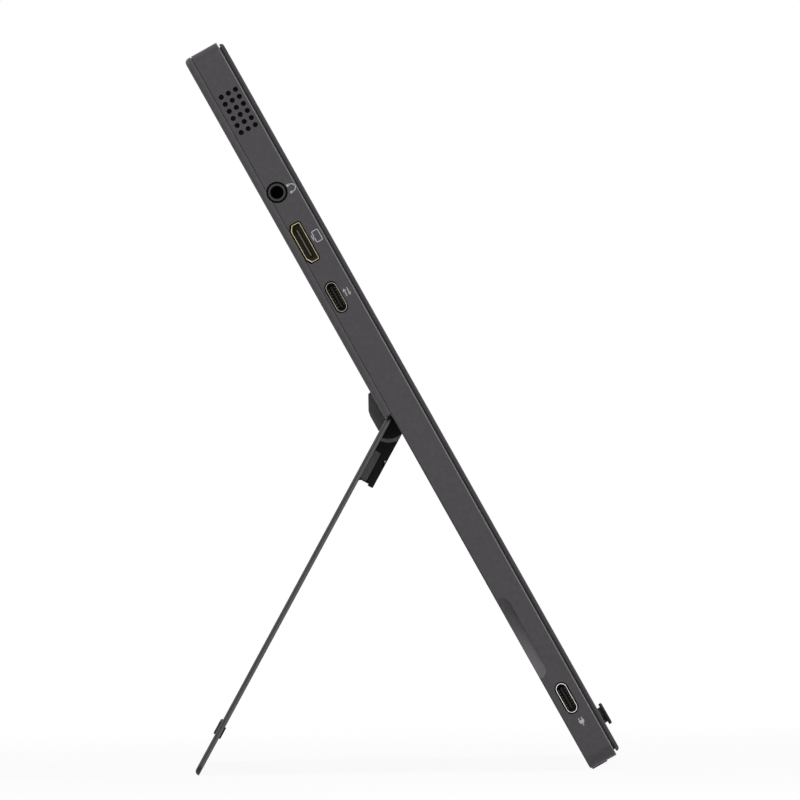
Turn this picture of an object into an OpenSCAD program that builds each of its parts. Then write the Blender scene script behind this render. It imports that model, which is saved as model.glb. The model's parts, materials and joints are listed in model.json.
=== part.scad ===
// Portable monitor with a hinged rear cover plate that folds out as its stand.
// Every piece is drawn with the screen upright: x along the width, y from the front
// of the bezel towards the back, z up from the lower edge. The whole is then leaned
// back and set on its feet, and the cover plate is swung out until it meets the desk.
// Left is the side with the sockets, which is the left hand of someone facing the screen.

/* [Pose] */
// How far the screen leans back from upright, in degrees
tilt = 28.5; // [22:0.5:36]

/* [Body] */
// Width of the body
body_w = 355; // [345:1:365]
// Height of the body
body_h = 224; // [222:1:230]
// Radius of the body's corners, seen from the front
corner_r = 3.8; // [3:0.1:5]
// Thickness of the front bezel
bezel_t = 1.1; // [0.9:0.05:1.2]
// How far the bezel stands in from the edge of the housing
bezel_inset = 0.85; // [0.6:0.05:1]
// Width of the groove between the bezel and the housing
groove_w = 0.4; // [0.3:0.05:0.5]
// Depth from the front to the lower back of the housing
housing_back = 9.7; // [9.5:0.1:9.9]
// Depth from the front to the back of the upper rear cover
cover_back = 11.7; // [11.5:0.1:11.9]
// Height of the upper rear cover's lower edge
step_z = 111.7; // [111.6:0.1:112]
// Thickness of the housing's and the cover's walls
wall = 1.3; // [1.1:0.1:1.4]

/* [Screen] */
// Width of the picture
picture_w = 344.2; // [340:0.1:344.4]
// Height of the picture
picture_h = 193.6; // [191:0.1:194]
// Width of the bezel above the picture
brow = 6; // [5.8:0.1:8]

/* [Cover plate] */
// Thickness of the cover plate that becomes the stand
plate_t = 1.5; // [1.4:0.05:1.5]
// Width of the cover plate
plate_w = 352; // [340:1:353]
// Height of the plate's lower edge above the body's lower edge when closed
plate_low = 0.1; // [0.1:0.1:1.5]
// Radius of the rounded outer corner along the plate's free edge
tip_r = 1.2; // [0.8:0.1:1.3]

/* [Hinge] */
// Depth of the pivot from the front of the bezel
pivot_y = 11; // [10.9:0.05:11.1]
// Height of the pivot above the lower edge
pivot_z = 110.8; // [110.7:0.05:110.9]
// Distance from the middle of the body to the middle of each hinge cap
hinge_x = 109; // [60:1:120]
// Distance from the pivot to the cap's flat back
cap_r = 4; // [3.9:0.05:4]
// Radius of the hinge pin
pin_r = 1.25; // [1.1:0.05:1.3]
// Radius of the knuckle that turns on the pin
knuckle_r = 2.8; // [2.6:0.05:2.8]
// Thickness of the black hinge arm
arm_t = 4.4; // [4.2:0.1:4.4]
// Length of the hinge arm down the plate
arm_len = 19.2; // [19:0.1:19.4]

/* [Sockets on the left side] */
// Height of the headphone socket
jack_z = 180; // [178:0.5:183]
// Radius of the headphone plug's bore
jack_bore_r = 1.8; // [1.75:0.01:1.85]
// Depth of the headphone plug's bore
jack_bore_len = 14; // [14:0.5:15]
// Height of the mini video socket
video_z = 164.3; // [162:0.1:166]
// Height of the upper oval reversible socket
upper_c_z = 147; // [145:0.5:149]
// Height of the lower oval reversible socket
lower_c_z = 20.3; // [19.5:0.1:21.5]

/* [Joystick] */
// Distance of the joystick from the middle, towards the left
stick_x = 150; // [120:1:151]
// Height of the joystick above the lower edge
stick_z = 11.1; // [10.9:0.1:11.3]
// Radius of the joystick's cap
stick_cap_r = 3.175; // [3:0.025:3.3]

/* [Speaker grille] */
// Holes along the side
grille_cols = 6; // [3:1:6]
// Rows of holes across the side
grille_rows = 3; // [1:1:3]
// Distance between holes
grille_pitch = 2.22; // [2.1:0.02:2.3]
// Radius of each hole
grille_hole_r = 0.7; // [0.5:0.05:0.8]

/* [Hidden] */
$fn = 48;
eps = 0.01;
half_w = body_w / 2;
arc_steps = 8;          // straight steps in a quarter turn of an outline

// Depths of the layers, from the front
housing_front = bezel_t + groove_w;
back_wall = 1.2;
housing_floor = housing_back - back_wall;
cover_skin = 1.2;
cover_floor = cover_back - cover_skin;
bezel_round = 0.9;
tongue_y = 1.9;
tongue_out = 0.3 + wall;        // the bezel's tongue, measured in from the side
tongue_w = 0.7;
glass_t = 1.2;
glass_y = bezel_t;
backlight_back = 4.1;
board_y = 4.4;
board_t = 1;
board_out = -half_w + wall + 0.9;   // the boards' edge behind the sockets
cable_t = 0.2;
feet_t = 0.4;
feet_y0 = 4.6;
feet_y1 = 9.2;
foot_in = 90;
foot_out = 165;

// Heights of the picture and the layers around it
picture_top = body_h - brow;
picture_low = picture_top - picture_h;
glass_margin = 1.9;
glass_low = picture_low - 3.9;
backlight_top = picture_top + 2.2;
backlight_low = 14.6;
backlight_half = 175;

// The cover plate, closed
plate_back = cover_back;
plate_front = cover_back - plate_t;
plate_top = step_z - 0.5;
plate_half = plate_w / 2;
plate_edge_r = 0.6;
plate_inner_r = 0.2;
strip_half = 35;        // half the length of the rubber strips on both faces of the plate
outer_strip_t = 0.6;
outer_strip_low = plate_low + 10.4;
outer_strip_top = plate_low + 14.5;
inner_strip_t = 0.4;
inner_strip_low = plate_low + 10;
inner_strip_top = plate_low + 12.8;

// Distances from the middle to the faces of a hinge's pieces
cap_half = 11;
cap_in = hinge_x - cap_half;
cap_out = hinge_x + cap_half;
cap_wall = 1.2;
ear_t = 1.8;
ear_gap = 0.2;
ear_in = cap_in + cap_wall + ear_gap;
ear_out = cap_out - cap_wall - ear_gap;
washer_t = 0.66;
washer_count = 3;
knuckle_in = ear_in + ear_t + washer_count * washer_t + 0.2;
knuckle_out = ear_out - ear_t - 0.2;
arm_in = cap_in - 2;
arm_reach = 26;
arm_out = hinge_x + arm_reach;
block_in = cap_out + 0.4;
arm_front = plate_front - arm_t;
arm_low = plate_top - arm_len;
arm_foot = 0.5;         // how far the arm's foot reaches below the rest of it
arm_base_t = 2.2;
arm_base_top = plate_top - 5.6;
leaf_r0 = 5.35;
leaf_r1 = 6.4;
boss_t = 2;
boss_top = plate_top - 9.6;
boss_low = plate_top - 18.4;
boss_in = block_in + 0.6;
boss_out = arm_out - 0.4;
cap_lip_drop = 1.7;     // how far the cap's lower lip hangs below the pivot
cap_end_r = 1;          // rounding of the cap's ends towards the back
cap_cavity_r = knuckle_r + 0.5;
notch_side = 0.6;
notch_low = pivot_z - 4.9;
knuckle_room = 0.4;
leaf_plate_low = pivot_z + knuckle_r + knuckle_room;
leaf_plate_h = 14;
leaf_plate_top = leaf_plate_low + leaf_plate_h;
leaf_plate_t = 1;
leaf_plate_y = housing_back - leaf_plate_t - 0.1;
ear_r = 2.9;
ear_web_rise = 0.5;     // how far the ears' webs reach up beside the leaf

// The pocket in the housing that the closed hinge arm lies in
pocket_gap = 0.3;
pocket_in = arm_in - 1.5;
pocket_out = arm_out + 1.5;
pocket_floor = arm_front - pocket_gap;
pocket_low = arm_low - 0.6;
pocket_skin = 0.8;
knuckle_room_y = pivot_y - knuckle_r - 0.3;
knuckle_room_side = 0.8;
knuckle_room_top = leaf_plate_low;
ledge_top = leaf_plate_top + 1;
ledge_in = cap_in - 2;
ledge_out = cap_out + 2;

// Screws
screw_r = 0.9;
screw_head_r = 1.6;
screw_head_t = 0.6;
bracket_screw_len = 3;
bracket_screw_spots = [[-6, 6.5], [6, 6.5], [0, 11]];   // from the hinge's middle, above the leaf
arm_screw_spots = [[-9.5, 12], [8, 12]];                // from the hinge's middle, below the plate's top
edge_screw_spot = [22.5, 11.1];     // a smaller screw in a rebate that is open to the arm's side
edge_screw_r = 0.6;
edge_head_r = 0.95;
edge_rebate = 0.7;
board_screw_len = 2.6;
chip_sink = 0.1;        // how far a chip is let into its board, so that the two are one solid
board_boss_r = 1.8;
board_screw_spots = [[-165, 136], [-130, 136], [-130, 186], [-165, 30]];

// Sockets
jack_y = 7.15;
jack_collar_r = 2.45;
jack_gap = 0.5;         // open ring round the collar
jack_body_half = 3.2;
video_y = 7.45;
video_len = 11.6;
video_wid = 3.4;
upper_c_y = 7;
lower_c_y = 5.9;
c_len = 8.94;
c_wid = 3.2;
socket_gap = 0.3;
shell_t = 0.3;
shell_len = 7.4;
mouth_x = -half_w + 0.2;
tongue_len = 5.2;
tongue_root = 0.6;      // the moulding that fills the shell behind the tongue
root_gap = 0.02;
socket_floor = mouth_x + shell_len - shell_t;

// Finger scoop in each side, at the lower back edge
scoop_low = 28.1;
scoop_top = 53.2;
scoop_y = 6.6;
scoop_r = 24.3;
scoop_deep = 3.5;
scoop_end_r = 2.9;
scoop_wall = 1.2;

// Speaker grille
grille_top = 210.2;
grille_y = 3.2;
speaker_low = 193.5;
speaker_top = 216;
speaker_in = 152;
speaker_out = half_w - wall - 0.5;
speaker_y1 = 9.4;
mesh_t = 0.25;

// Joystick: the stem rocks about a point inside the base
stick_pivot_y = 5.1;
stick_cap_front = -1.76;
stick_cap_back = -0.82;
stick_stem_r = 2.35;
stick_stem_end = 3.6;
stick_hole_r = 2.85;
stick_rod_r = 0.85;
stick_rod_end = 6.3;
stick_base_half = 3.7;
stick_base_y = 4.2;
stick_well_r = 3.1;
stick_well_end = 7.2;
ring_out_r = 2.85;
ring_in_r = 2;
ring_t = 0.9;
ring_skin = 0.15;       // left of the ring outside the carrier's bearings
carrier_r = 1.8;
trunnion_r = 0.35;
trunnion_len = 0.5;
trunnion_gap = 0.03;
joystick_board_y = 7.8;
joystick_board_t = 0.65;

// How the object stands. The rear edge of the feet and the tip of the plate touch
// the desk, and the plate's angle follows from the height of the pivot.
stand_rise = feet_y1 * sin(tilt) + feet_t * cos(tilt);
pivot_height = stand_rise - pivot_y * sin(tilt) + pivot_z * cos(tilt);
tip_drop = pivot_z - plate_low - plate_inner_r;
tip_side = pivot_y - plate_front - plate_inner_r;
tip_reach = norm([tip_drop, tip_side]);
plate_lean = acos((pivot_height - plate_inner_r) / tip_reach) + atan(tip_side / tip_drop);
stand_open = tilt + plate_lean;

// Depth of the whole, which puts its origin at the middle of its footprint
pivot_depth = pivot_y * cos(tilt) + pivot_z * sin(tilt);
front_most = bezel_round * cos(tilt) + (bezel_inset + bezel_round) * sin(tilt) - bezel_round;
tip_most = pivot_depth + (tip_drop + plate_inner_r - tip_r) * sin(plate_lean)
    + (plate_back - tip_r - pivot_y) * cos(plate_lean) + tip_r;
cover_round = 1.3;
top_most = (cover_back - cover_round) * cos(tilt) + (body_h - cover_round) * sin(tilt) + cover_round;
stand_shift = -(front_most + max(tip_most, top_most)) / 2;

echo(stand_open = stand_open, pivot = [0, pivot_depth + stand_shift, pivot_height]);
echo(stand_shift = stand_shift, stand_rise = stand_rise);

// ---- Outlines ----

// Points along an arc
function arc(cx, cz, r, a0, a1, n = arc_steps) =
    [for (i = [0:n]) let (a = a0 + (a1 - a0) * i / n) [cx + r * cos(a), cz + r * sin(a)]];

// A rectangle with its own corner radius below and above
function round_rect(x0, x1, z0, z1, r_low, r_top) = concat(
    arc(x1 - r_low, z0 + r_low, r_low, -90, 0),
    arc(x1 - r_top, z1 - r_top, r_top, 0, 90),
    arc(x0 + r_top, z1 - r_top, r_top, 90, 180),
    arc(x0 + r_low, z0 + r_low, r_low, 180, 270));

// A slot with round ends, its length along the second axis
function stadium(c0, c1, wid, len) = concat(
    arc(c0, c1 + (len - wid) / 2, wid / 2, 0, 180),
    arc(c0, c1 - (len - wid) / 2, wid / 2, 180, 360));

// The video socket's outline: wide and rounded towards the front, chamfered towards the back
function video_outline(grow) = let (
    a = video_wid / 2 + grow,
    b = video_len / 2 + grow,
    c = 0.9,
    r = 0.6 + grow)
    concat(
        arc(video_y - a + r, video_z - b + r, r, 180, 270),
        [[video_y + a - c, video_z - b], [video_y + a, video_z - b + c * 1.6],
         [video_y + a, video_z + b - c * 1.6], [video_y + a - c, video_z + b]],
        arc(video_y - a + r, video_z + b - r, r, 90, 180));

// ---- Ways to draw ----

// A plate seen from the front: points are [x, z], from depth y0 to y1
module front_plate(points, y0, y1)
    translate([0, y1, 0]) rotate([90, 0, 0]) linear_extrude(y1 - y0) polygon(points);

// A bar seen from the side: points are [y, z], from x0 to x1
module side_bar(points, x0, x1)
    translate([x0, 0, 0]) rotate([90, 0, 90]) linear_extrude(x1 - x0) polygon(points);

module side_rod(r, y, z, x0, x1)
    translate([x0, y, z]) rotate([0, 90, 0]) cylinder(r = r, h = x1 - x0);

module front_rod(r, x, z, y0, y1)
    translate([x, y1, z]) rotate([90, 0, 0]) cylinder(r = r, h = y1 - y0);

// A block between two corners
module block(low, high) translate(low) cube(high - low);

// How far an edge rounded by r stands in, at depth d below the face
function edge_inset(r, d) = d >= r ? 0 : r - sqrt(r * r - (r - d) * (r - d));

// A plate whose edges are rounded by r0 at its front face and r1 at its back face.
// low_r is the rounding of the lower edge at the back face.
module soft_plate(x0, x1, z0, z1, r_low, r_top, y0, y1, r0, r1, low_r) {
    steps = 4;
    thin = 0.02;
    back_r = max(r1, low_r);
    module slice(y, side, low)
        front_plate(round_rect(x0 + side, x1 - side, z0 + low, z1 - side,
            max(r_low - side, 0.1), max(r_top - side, 0.1)), y, y + thin);
    hull() {
        for (i = [0:steps]) let (d = r0 * (1 - sin(90 * i / steps)))
            slice(y0 + d, edge_inset(r0, d), edge_inset(r0, d));
        for (i = [0:steps]) let (d = back_r * (1 - sin(90 * i / steps)))
            slice(y1 - thin - d, edge_inset(r1, d), edge_inset(low_r, d));
    }
}

// Leans the upright object back and stands it on the desk
module on_desk() translate([0, stand_shift, stand_rise]) rotate([-tilt, 0, 0]) children();

// Swings what is drawn closed about the pivot
module swung()
    on_desk() translate([0, pivot_y, pivot_z]) rotate([stand_open, 0, 0])
        translate([0, -pivot_y, -pivot_z]) children();

module right() children();
module left() mirror([1, 0, 0]) children();
module both() {
    right() children();
    left() children();
}

// ---- Housing and covers ----

module hinge_pocket() {
    block([pocket_in, pocket_floor, pocket_low], [pocket_out, housing_back + 1, step_z]);
    block([cap_in + knuckle_room_side, knuckle_room_y, pivot_z],
        [cap_out - knuckle_room_side, housing_back + 1, knuckle_room_top]);
}

// The solid left standing round the pocket, and the ledge that the bracket is screwed to
module hinge_pocket_walls() {
    block([pocket_in - pocket_skin, pocket_floor - pocket_skin, pocket_low - pocket_skin],
        [pocket_out + pocket_skin, housing_back, step_z + pocket_skin]);
    block([ledge_in, pocket_floor - pocket_skin, step_z],
        [ledge_out, leaf_plate_y, ledge_top]);
}

module scoop_outline(y0, y1, grow, x0, x1) {
    r = scoop_end_r + grow;
    side_bar(concat(
        arc(y0 + r, scoop_low - grow + r, r, 180, 270),
        [[y1, scoop_low - grow], [y1, scoop_top + grow]],
        arc(y0 + r, scoop_top + grow - r, r, 90, 180)), x0, x1);
}

module finger_scoop() {
    middle = (scoop_low + scoop_top) / 2;
    intersection() {
        scoop_outline(scoop_y, housing_back + 1, 0, half_w - 2 * scoop_deep, half_w + 1);
        front_rod(scoop_r, half_w + scoop_r - scoop_deep, middle, scoop_y - 1, housing_back + 2);
    }
}

module grille_holes()
    for (i = [0:grille_cols - 1], j = [0:grille_rows - 1])
        side_rod(grille_hole_r, grille_y + j * grille_pitch, grille_top - i * grille_pitch,
            half_w - wall - 1, half_w + 1);

module socket_mouths() {
    x0 = -half_w - 1;
    x1 = -half_w + wall + 0.6;
    side_rod(jack_collar_r + jack_gap, jack_y, jack_z, x0, x1);
    side_bar(video_outline(socket_gap), x0, x1);
    side_bar(stadium(upper_c_y, upper_c_z, c_wid + 2 * socket_gap, c_len + 2 * socket_gap), x0, x1);
    side_bar(stadium(lower_c_y, lower_c_z, c_wid + 2 * socket_gap, c_len + 2 * socket_gap), x0, x1);
}

module housing_cavity() {
    inner_r = corner_r - wall;
    rim = 0.3;
    upper_low = step_z + 1.5;
    difference() {
        union() {
            front_plate(round_rect(-half_w + wall, half_w - wall, wall, body_h - wall, inner_r, inner_r),
                housing_front - 1, housing_floor);
            front_plate(round_rect(-half_w + wall + rim, half_w - wall - rim, upper_low,
                body_h - wall - rim, 1, inner_r), housing_floor - 1, housing_back + 1);
        }
        both() hinge_pocket_walls();
        both() scoop_outline(scoop_y - scoop_wall, housing_back, scoop_wall,
            half_w - scoop_deep - scoop_wall, half_w);
        // bosses that the side board is screwed to
        for (spot = board_screw_spots) if (spot[1] < step_z)
            front_rod(board_boss_r, spot[0], spot[1], board_y + board_t, housing_back);
    }
}

module main_housing() color([0.27, 0.27, 0.28]) on_desk() {
    edge_r = 0.3;
    low_r = 0.85;
    chamfer = 0.5;
    difference() {
        soft_plate(-half_w, half_w, 0, body_h, corner_r, corner_r, housing_front, housing_back, edge_r, 0, 0);
        housing_cavity();
        both() hinge_pocket();
        both() finger_scoop();
        both() grille_holes();
        socket_mouths();
        // round the lower back edge
        side_bar(concat([[housing_back + 1, -1], [housing_back + 1, low_r], [housing_back, low_r]],
            arc(housing_back - low_r, low_r, low_r, 0, -90), [[housing_back - low_r, -1]]),
            -half_w - 1, half_w + 1);
        // break the back edges beside the cover plate
        both() back_edge_wedge(chamfer);
        seam_groove();
        for (spot = board_screw_spots) if (spot[1] < step_z)
            front_rod(screw_r, spot[0], spot[1], board_y, board_y + board_screw_len + 0.5);
        both() for (spot = bracket_screw_spots)
            front_rod(screw_r, hinge_x + spot[0], leaf_plate_low + spot[1],
                leaf_plate_y - bracket_screw_len, leaf_plate_y + 1);
    }
}

// A wedge along the back edge of one side, below the upper cover
module back_edge_wedge(c)
    translate([0, 0, -1]) linear_extrude(step_z + 1)
        polygon([[half_w - c, housing_back + eps], [half_w + eps, housing_back - c],
            [half_w + 1, housing_back - c], [half_w + 1, housing_back + 1],
            [half_w - c, housing_back + 1]]);

// The parting line: a groove round the housing's back edge, under the upper cover
module seam_groove() {
    seam_w = 0.25;
    seam_deep = 0.35;
    difference() {
        block([-half_w - 1, housing_back - seam_w, step_z], [half_w + 1, housing_back + 1, body_h + 1]);
        front_plate(round_rect(-half_w + seam_deep, half_w - seam_deep, step_z - 10, body_h - seam_deep,
            1, corner_r - seam_deep), housing_back - 1, housing_back + 2);
    }
}

module rear_cover() color([0.28, 0.28, 0.29]) on_desk() {
    low_wall = 1.5;
    rim = 0.3;
    difference() {
        union() {
            difference() {
                soft_plate(-half_w, half_w, step_z, body_h, 0.3, corner_r,
                    housing_back, cover_back, 0, cover_round, 0);
                front_plate(round_rect(-half_w + wall + rim, half_w - wall - rim, step_z + low_wall,
                    body_h - wall - rim, 1, corner_r - wall), housing_back - 1, cover_floor);
            }
            for (spot = board_screw_spots) if (spot[1] > step_z)
                front_rod(board_boss_r, spot[0], spot[1], board_y + board_t, cover_floor + 0.5);
        }
        // the way through to the hinge, under the cap, with room for the ears' webs
        both() block([cap_in + knuckle_room_side, housing_back - 1, step_z - 1],
            [cap_out - knuckle_room_side, cover_back + 1, knuckle_room_top + ear_web_rise + 0.2]);
        side_rod(jack_collar_r + jack_gap, jack_y, jack_z, -half_w - 1, -half_w + wall + 0.6);
        for (spot = board_screw_spots) if (spot[1] > step_z)
            front_rod(screw_r, spot[0], spot[1], board_y, board_y + board_screw_len + 0.5);
    }
}

module front_bezel() color([0.235, 0.225, 0.235]) on_desk() {
    inner_r = 0.4;
    tongue_in = tongue_out + tongue_w;
    lip = bezel_t - 0.3;
    difference() {
        union() {
            soft_plate(-half_w + bezel_inset, half_w - bezel_inset, bezel_inset, body_h - bezel_inset,
                corner_r - bezel_inset, corner_r - bezel_inset, 0, bezel_t, bezel_round, 0, 0);
            front_plate(round_rect(-half_w + tongue_out, half_w - tongue_out, tongue_out,
                body_h - tongue_out, 2, 2), lip, tongue_y);
        }
        front_plate(round_rect(-half_w + tongue_in, half_w - tongue_in, tongue_in,
            body_h - tongue_in, 1.5, 1.5), bezel_t, tongue_y + 1);
        front_plate(round_rect(-picture_w / 2, picture_w / 2, picture_low, picture_top, inner_r, inner_r),
            -1, bezel_t + 1);
        front_rod(stick_hole_r, -stick_x, stick_z, -1, bezel_t + 1);
    }
}

// ---- Screen ----

module screen_glass() color([0.02, 0.02, 0.025]) on_desk()
    front_plate(round_rect(-picture_w / 2 - glass_margin, picture_w / 2 + glass_margin,
        glass_low, picture_top + glass_margin, 0.5, 0.5), glass_y, glass_y + glass_t);

module backlight_unit() color([0.75, 0.76, 0.78]) on_desk() {
    frame_front = 1.5;
    gap = 0.15;
    difference() {
        front_plate(round_rect(-backlight_half, backlight_half, backlight_low, backlight_top, 0.5, 0.5),
            frame_front, backlight_back);
        front_plate(round_rect(-picture_w / 2 - glass_margin - gap, picture_w / 2 + glass_margin + gap,
            glass_low - gap, picture_top + glass_margin + gap, 0.5, 0.5),
            frame_front - 1, glass_y + glass_t);
    }
}

// Chips on a board's face at depth y: each is [x0, z0, x1, z1, height]
module chips(y, list)
    for (c = list) block([c[0], y - chip_sink, c[1]], [c[2], y + c[4], c[3]]);

module panel_board() color([0.05, 0.25, 0.12]) on_desk() {
    strip_t = 0.8;
    low = [-150, 18];
    high = [60, 31];
    block([low[0], board_y, low[1]], [high[0], board_y + strip_t, high[1]]);
    chips(board_y + strip_t, [for (x = [-110, -40, 25]) [x, 21, x + 12, 28, 1]]);
}

// Lies under both boards, from the panel's strip up to the main board
module panel_cable() color([0.75, 0.65, 0.35]) on_desk() {
    left_side = -149;
    cable_w = 10;
    block([left_side, board_y - cable_t, 28], [left_side + cable_w, board_y, 134]);
}

// ---- Electronics ----

module main_board() color([0.05, 0.25, 0.12]) on_desk() {
    board_in = -123.5;
    board_low = 131;
    board_top = 190;
    chip_y = board_y + board_t;
    jack_room = jack_body_half + 0.3;
    difference() {
        block([board_out, board_y, board_low], [board_in, chip_y, board_top]);
        block([board_out - 1, board_y - 1, jack_z - jack_room],
            [board_out + jack_bore_len + 0.6, chip_y + 1, jack_z + jack_room]);
        for (spot = board_screw_spots) front_rod(screw_r + 0.1, spot[0], spot[1], board_y - 1, chip_y + 1);
    }
    chips(chip_y, [[-152, 155, -138, 169, 1], [-150, 140, -143, 147, 0.9], [-136, 172, -127, 180, 1.4]]);
    chips(chip_y, [for (z = [148:6:166]) [-134, z, -131, z + 3, 2]]);
}

module side_board() color([0.05, 0.25, 0.12]) on_desk() {
    board_in = -155;
    board_low = 12.5;
    board_top = 36;
    chip_y = board_y + board_t;
    socket_room = c_len / 2 + 0.2;
    difference() {
        block([board_out, board_y, board_low], [board_in, chip_y, board_top]);
        block([board_out - 1, board_y - 1, lower_c_z - socket_room],
            [mouth_x + shell_len + 0.3, chip_y + 1, lower_c_z + socket_room]);
        for (spot = board_screw_spots) front_rod(screw_r + 0.1, spot[0], spot[1], board_y - 1, chip_y + 1);
    }
    chips(chip_y, [[-164, 15, -159, 22, 1]]);
}

// Runs from the side board up to the main board
module power_cable() color([0.75, 0.65, 0.35]) on_desk() {
    left_side = -162;
    cable_w = 6;
    block([left_side, board_y - cable_t, 33], [left_side + cable_w, board_y, 134]);
}

module board_screws() color([0.6, 0.6, 0.62]) on_desk()
    for (spot = board_screw_spots) {
        front_rod(screw_r, spot[0], spot[1], board_y, board_y + board_screw_len);
        front_rod(screw_head_r, spot[0], spot[1], backlight_back + 0.05, board_y);
    }

module speaker() {
    membrane_r = 2;
    middle_z = (speaker_low + speaker_top) / 2;
    middle_y = (board_y + speaker_y1) / 2;
    difference() {
        front_plate(round_rect(speaker_in, speaker_out, speaker_low, speaker_top, 1.5, 1.5),
            board_y, speaker_y1);
        side_bar(stadium(middle_y, middle_z, 2 * membrane_r, speaker_top - speaker_low - 4),
            speaker_out - 1, speaker_out + 1);
    }
}
module speaker_left() color([0.08, 0.08, 0.08]) on_desk() left() speaker();
module speaker_right() color([0.08, 0.08, 0.08]) on_desk() right() speaker();

module grille_mesh() {
    border = 1.6;
    front_border = 1;
    back_border = 0.7;
    low = grille_top - (grille_cols - 1) * grille_pitch;
    back = grille_y + (grille_rows - 1) * grille_pitch;
    block([half_w - wall - mesh_t, grille_y - front_border, low - border],
        [half_w - wall, back + back_border, grille_top + border]);
}
module grille_mesh_left() color([0.1, 0.1, 0.1]) on_desk() left() grille_mesh();
module grille_mesh_right() color([0.1, 0.1, 0.1]) on_desk() right() grille_mesh();

// ---- Sockets ----

module headphone_socket() color([0.12, 0.12, 0.13]) on_desk() {
    x0 = -half_w + 0.05;
    collar_end = -half_w + wall + 0.9;
    body_back = 10;
    ear_out = jack_body_half + 1.3;
    ear_back = board_y + board_t + 0.5;
    difference() {
        union() {
            side_rod(jack_collar_r, jack_y, jack_z, x0, collar_end + 0.5);
            block([collar_end, board_y + 0.1, jack_z - jack_body_half],
                [x0 + jack_bore_len + 0.8, body_back, jack_z + jack_body_half]);
            // two pairs of ears that are soldered to the board
            for (x = [collar_end + 2, collar_end + 8])
                block([x, board_y + board_t, jack_z - ear_out], [x + 2, ear_back, jack_z + ear_out]);
        }
        side_rod(jack_bore_r, jack_y, jack_z, x0 - 1, x0 + jack_bore_len);
    }
}

module video_socket_shell() color([0.86, 0.76, 0.52]) on_desk()
    difference() {
        side_bar(video_outline(0), mouth_x, mouth_x + shell_len);
        side_bar(video_outline(-shell_t), mouth_x - 1, socket_floor);
    }

// The blade that carries the contacts, with its thicker foot
module tongue(y, z, half, t) {
    foot_len = 1.5;
    foot_side = 0.3;
    block([socket_floor - tongue_len, y - t / 2, z - half], [socket_floor, y + t / 2, z + half]);
    block([socket_floor - foot_len, y - t / 2 - foot_side, z - half - foot_side / 2],
        [socket_floor, y + t / 2 + foot_side, z + half + foot_side / 2]);
}

module video_socket_tongue() color([0.06, 0.06, 0.06]) on_desk() {
    tongue(video_y, video_z, 4.1, 0.5);
    side_bar(video_outline(-shell_t - root_gap), socket_floor - tongue_root, socket_floor);
}

module c_shell(y, z)
    difference() {
        side_bar(stadium(y, z, c_wid, c_len), mouth_x, mouth_x + shell_len);
        side_bar(stadium(y, z, c_wid - 2 * shell_t, c_len - 2 * shell_t),
            mouth_x - 1, socket_floor);
    }

module c_tongue(y, z) {
    inset = 2 * (shell_t + root_gap);
    tongue(y, z, 3.3, 0.7);
    side_bar(stadium(y, z, c_wid - inset, c_len - inset), socket_floor - tongue_root, socket_floor);
}
module upper_c_shell() color([0.78, 0.78, 0.76]) on_desk() c_shell(upper_c_y, upper_c_z);
module upper_c_tongue() color([0.06, 0.06, 0.06]) on_desk() c_tongue(upper_c_y, upper_c_z);
module lower_c_shell() color([0.78, 0.78, 0.76]) on_desk() c_shell(lower_c_y, lower_c_z);
module lower_c_tongue() color([0.06, 0.06, 0.06]) on_desk() c_tongue(lower_c_y, lower_c_z);

// ---- Joystick ----

module joystick_board() color([0.05, 0.25, 0.12]) on_desk() {
    left_side = -stick_x - 4.5;
    right_side = -stick_x + 12;
    low = 4;
    high = 18;
    block([left_side, joystick_board_y, low], [right_side, joystick_board_y + joystick_board_t, high]);
}

module joystick_base() color([0.1, 0.1, 0.1]) on_desk()
    difference() {
        block([-stick_x - stick_base_half, stick_base_y, stick_z - stick_base_half],
            [-stick_x + stick_base_half, joystick_board_y, stick_z + stick_base_half]);
        front_rod(stick_well_r, -stick_x, stick_z, stick_base_y - 1, stick_well_end);
        // bearings for the ring's trunnions
        side_rod(trunnion_r + trunnion_gap, stick_pivot_y, stick_z,
            -stick_x - ring_out_r - trunnion_len - 0.1, -stick_x + ring_out_r + trunnion_len + 0.1);
    }

// The ring rocks up and down on two trunnions in the base
module joystick_ring() color([0.7, 0.7, 0.7]) on_desk()
    difference() {
        union() {
            front_rod(ring_out_r, -stick_x, stick_z, stick_pivot_y - ring_t / 2, stick_pivot_y + ring_t / 2);
            side_rod(trunnion_r, stick_pivot_y, stick_z,
                -stick_x - ring_out_r - trunnion_len, -stick_x + ring_out_r + trunnion_len);
        }
        front_rod(ring_in_r, -stick_x, stick_z, stick_pivot_y - ring_t, stick_pivot_y + ring_t);
        // bearings for the carrier's trunnions
        translate([-stick_x, stick_pivot_y, stick_z - ring_out_r + ring_skin])
            cylinder(r = trunnion_r + trunnion_gap, h = 2 * (ring_out_r - ring_skin));
    }

// The carrier rocks left and right on two trunnions in the ring
module joystick_carrier() color([0.6, 0.6, 0.6]) on_desk()
    difference() {
        union() {
            front_rod(carrier_r, -stick_x, stick_z, stick_pivot_y - ring_t / 2, stick_pivot_y + ring_t / 2);
            translate([-stick_x, stick_pivot_y, stick_z - ring_in_r - trunnion_len])
                cylinder(r = trunnion_r, h = 2 * (ring_in_r + trunnion_len));
        }
        front_rod(stick_rod_r + 0.05, -stick_x, stick_z, stick_pivot_y - ring_t, stick_pivot_y + ring_t);
    }

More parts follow.
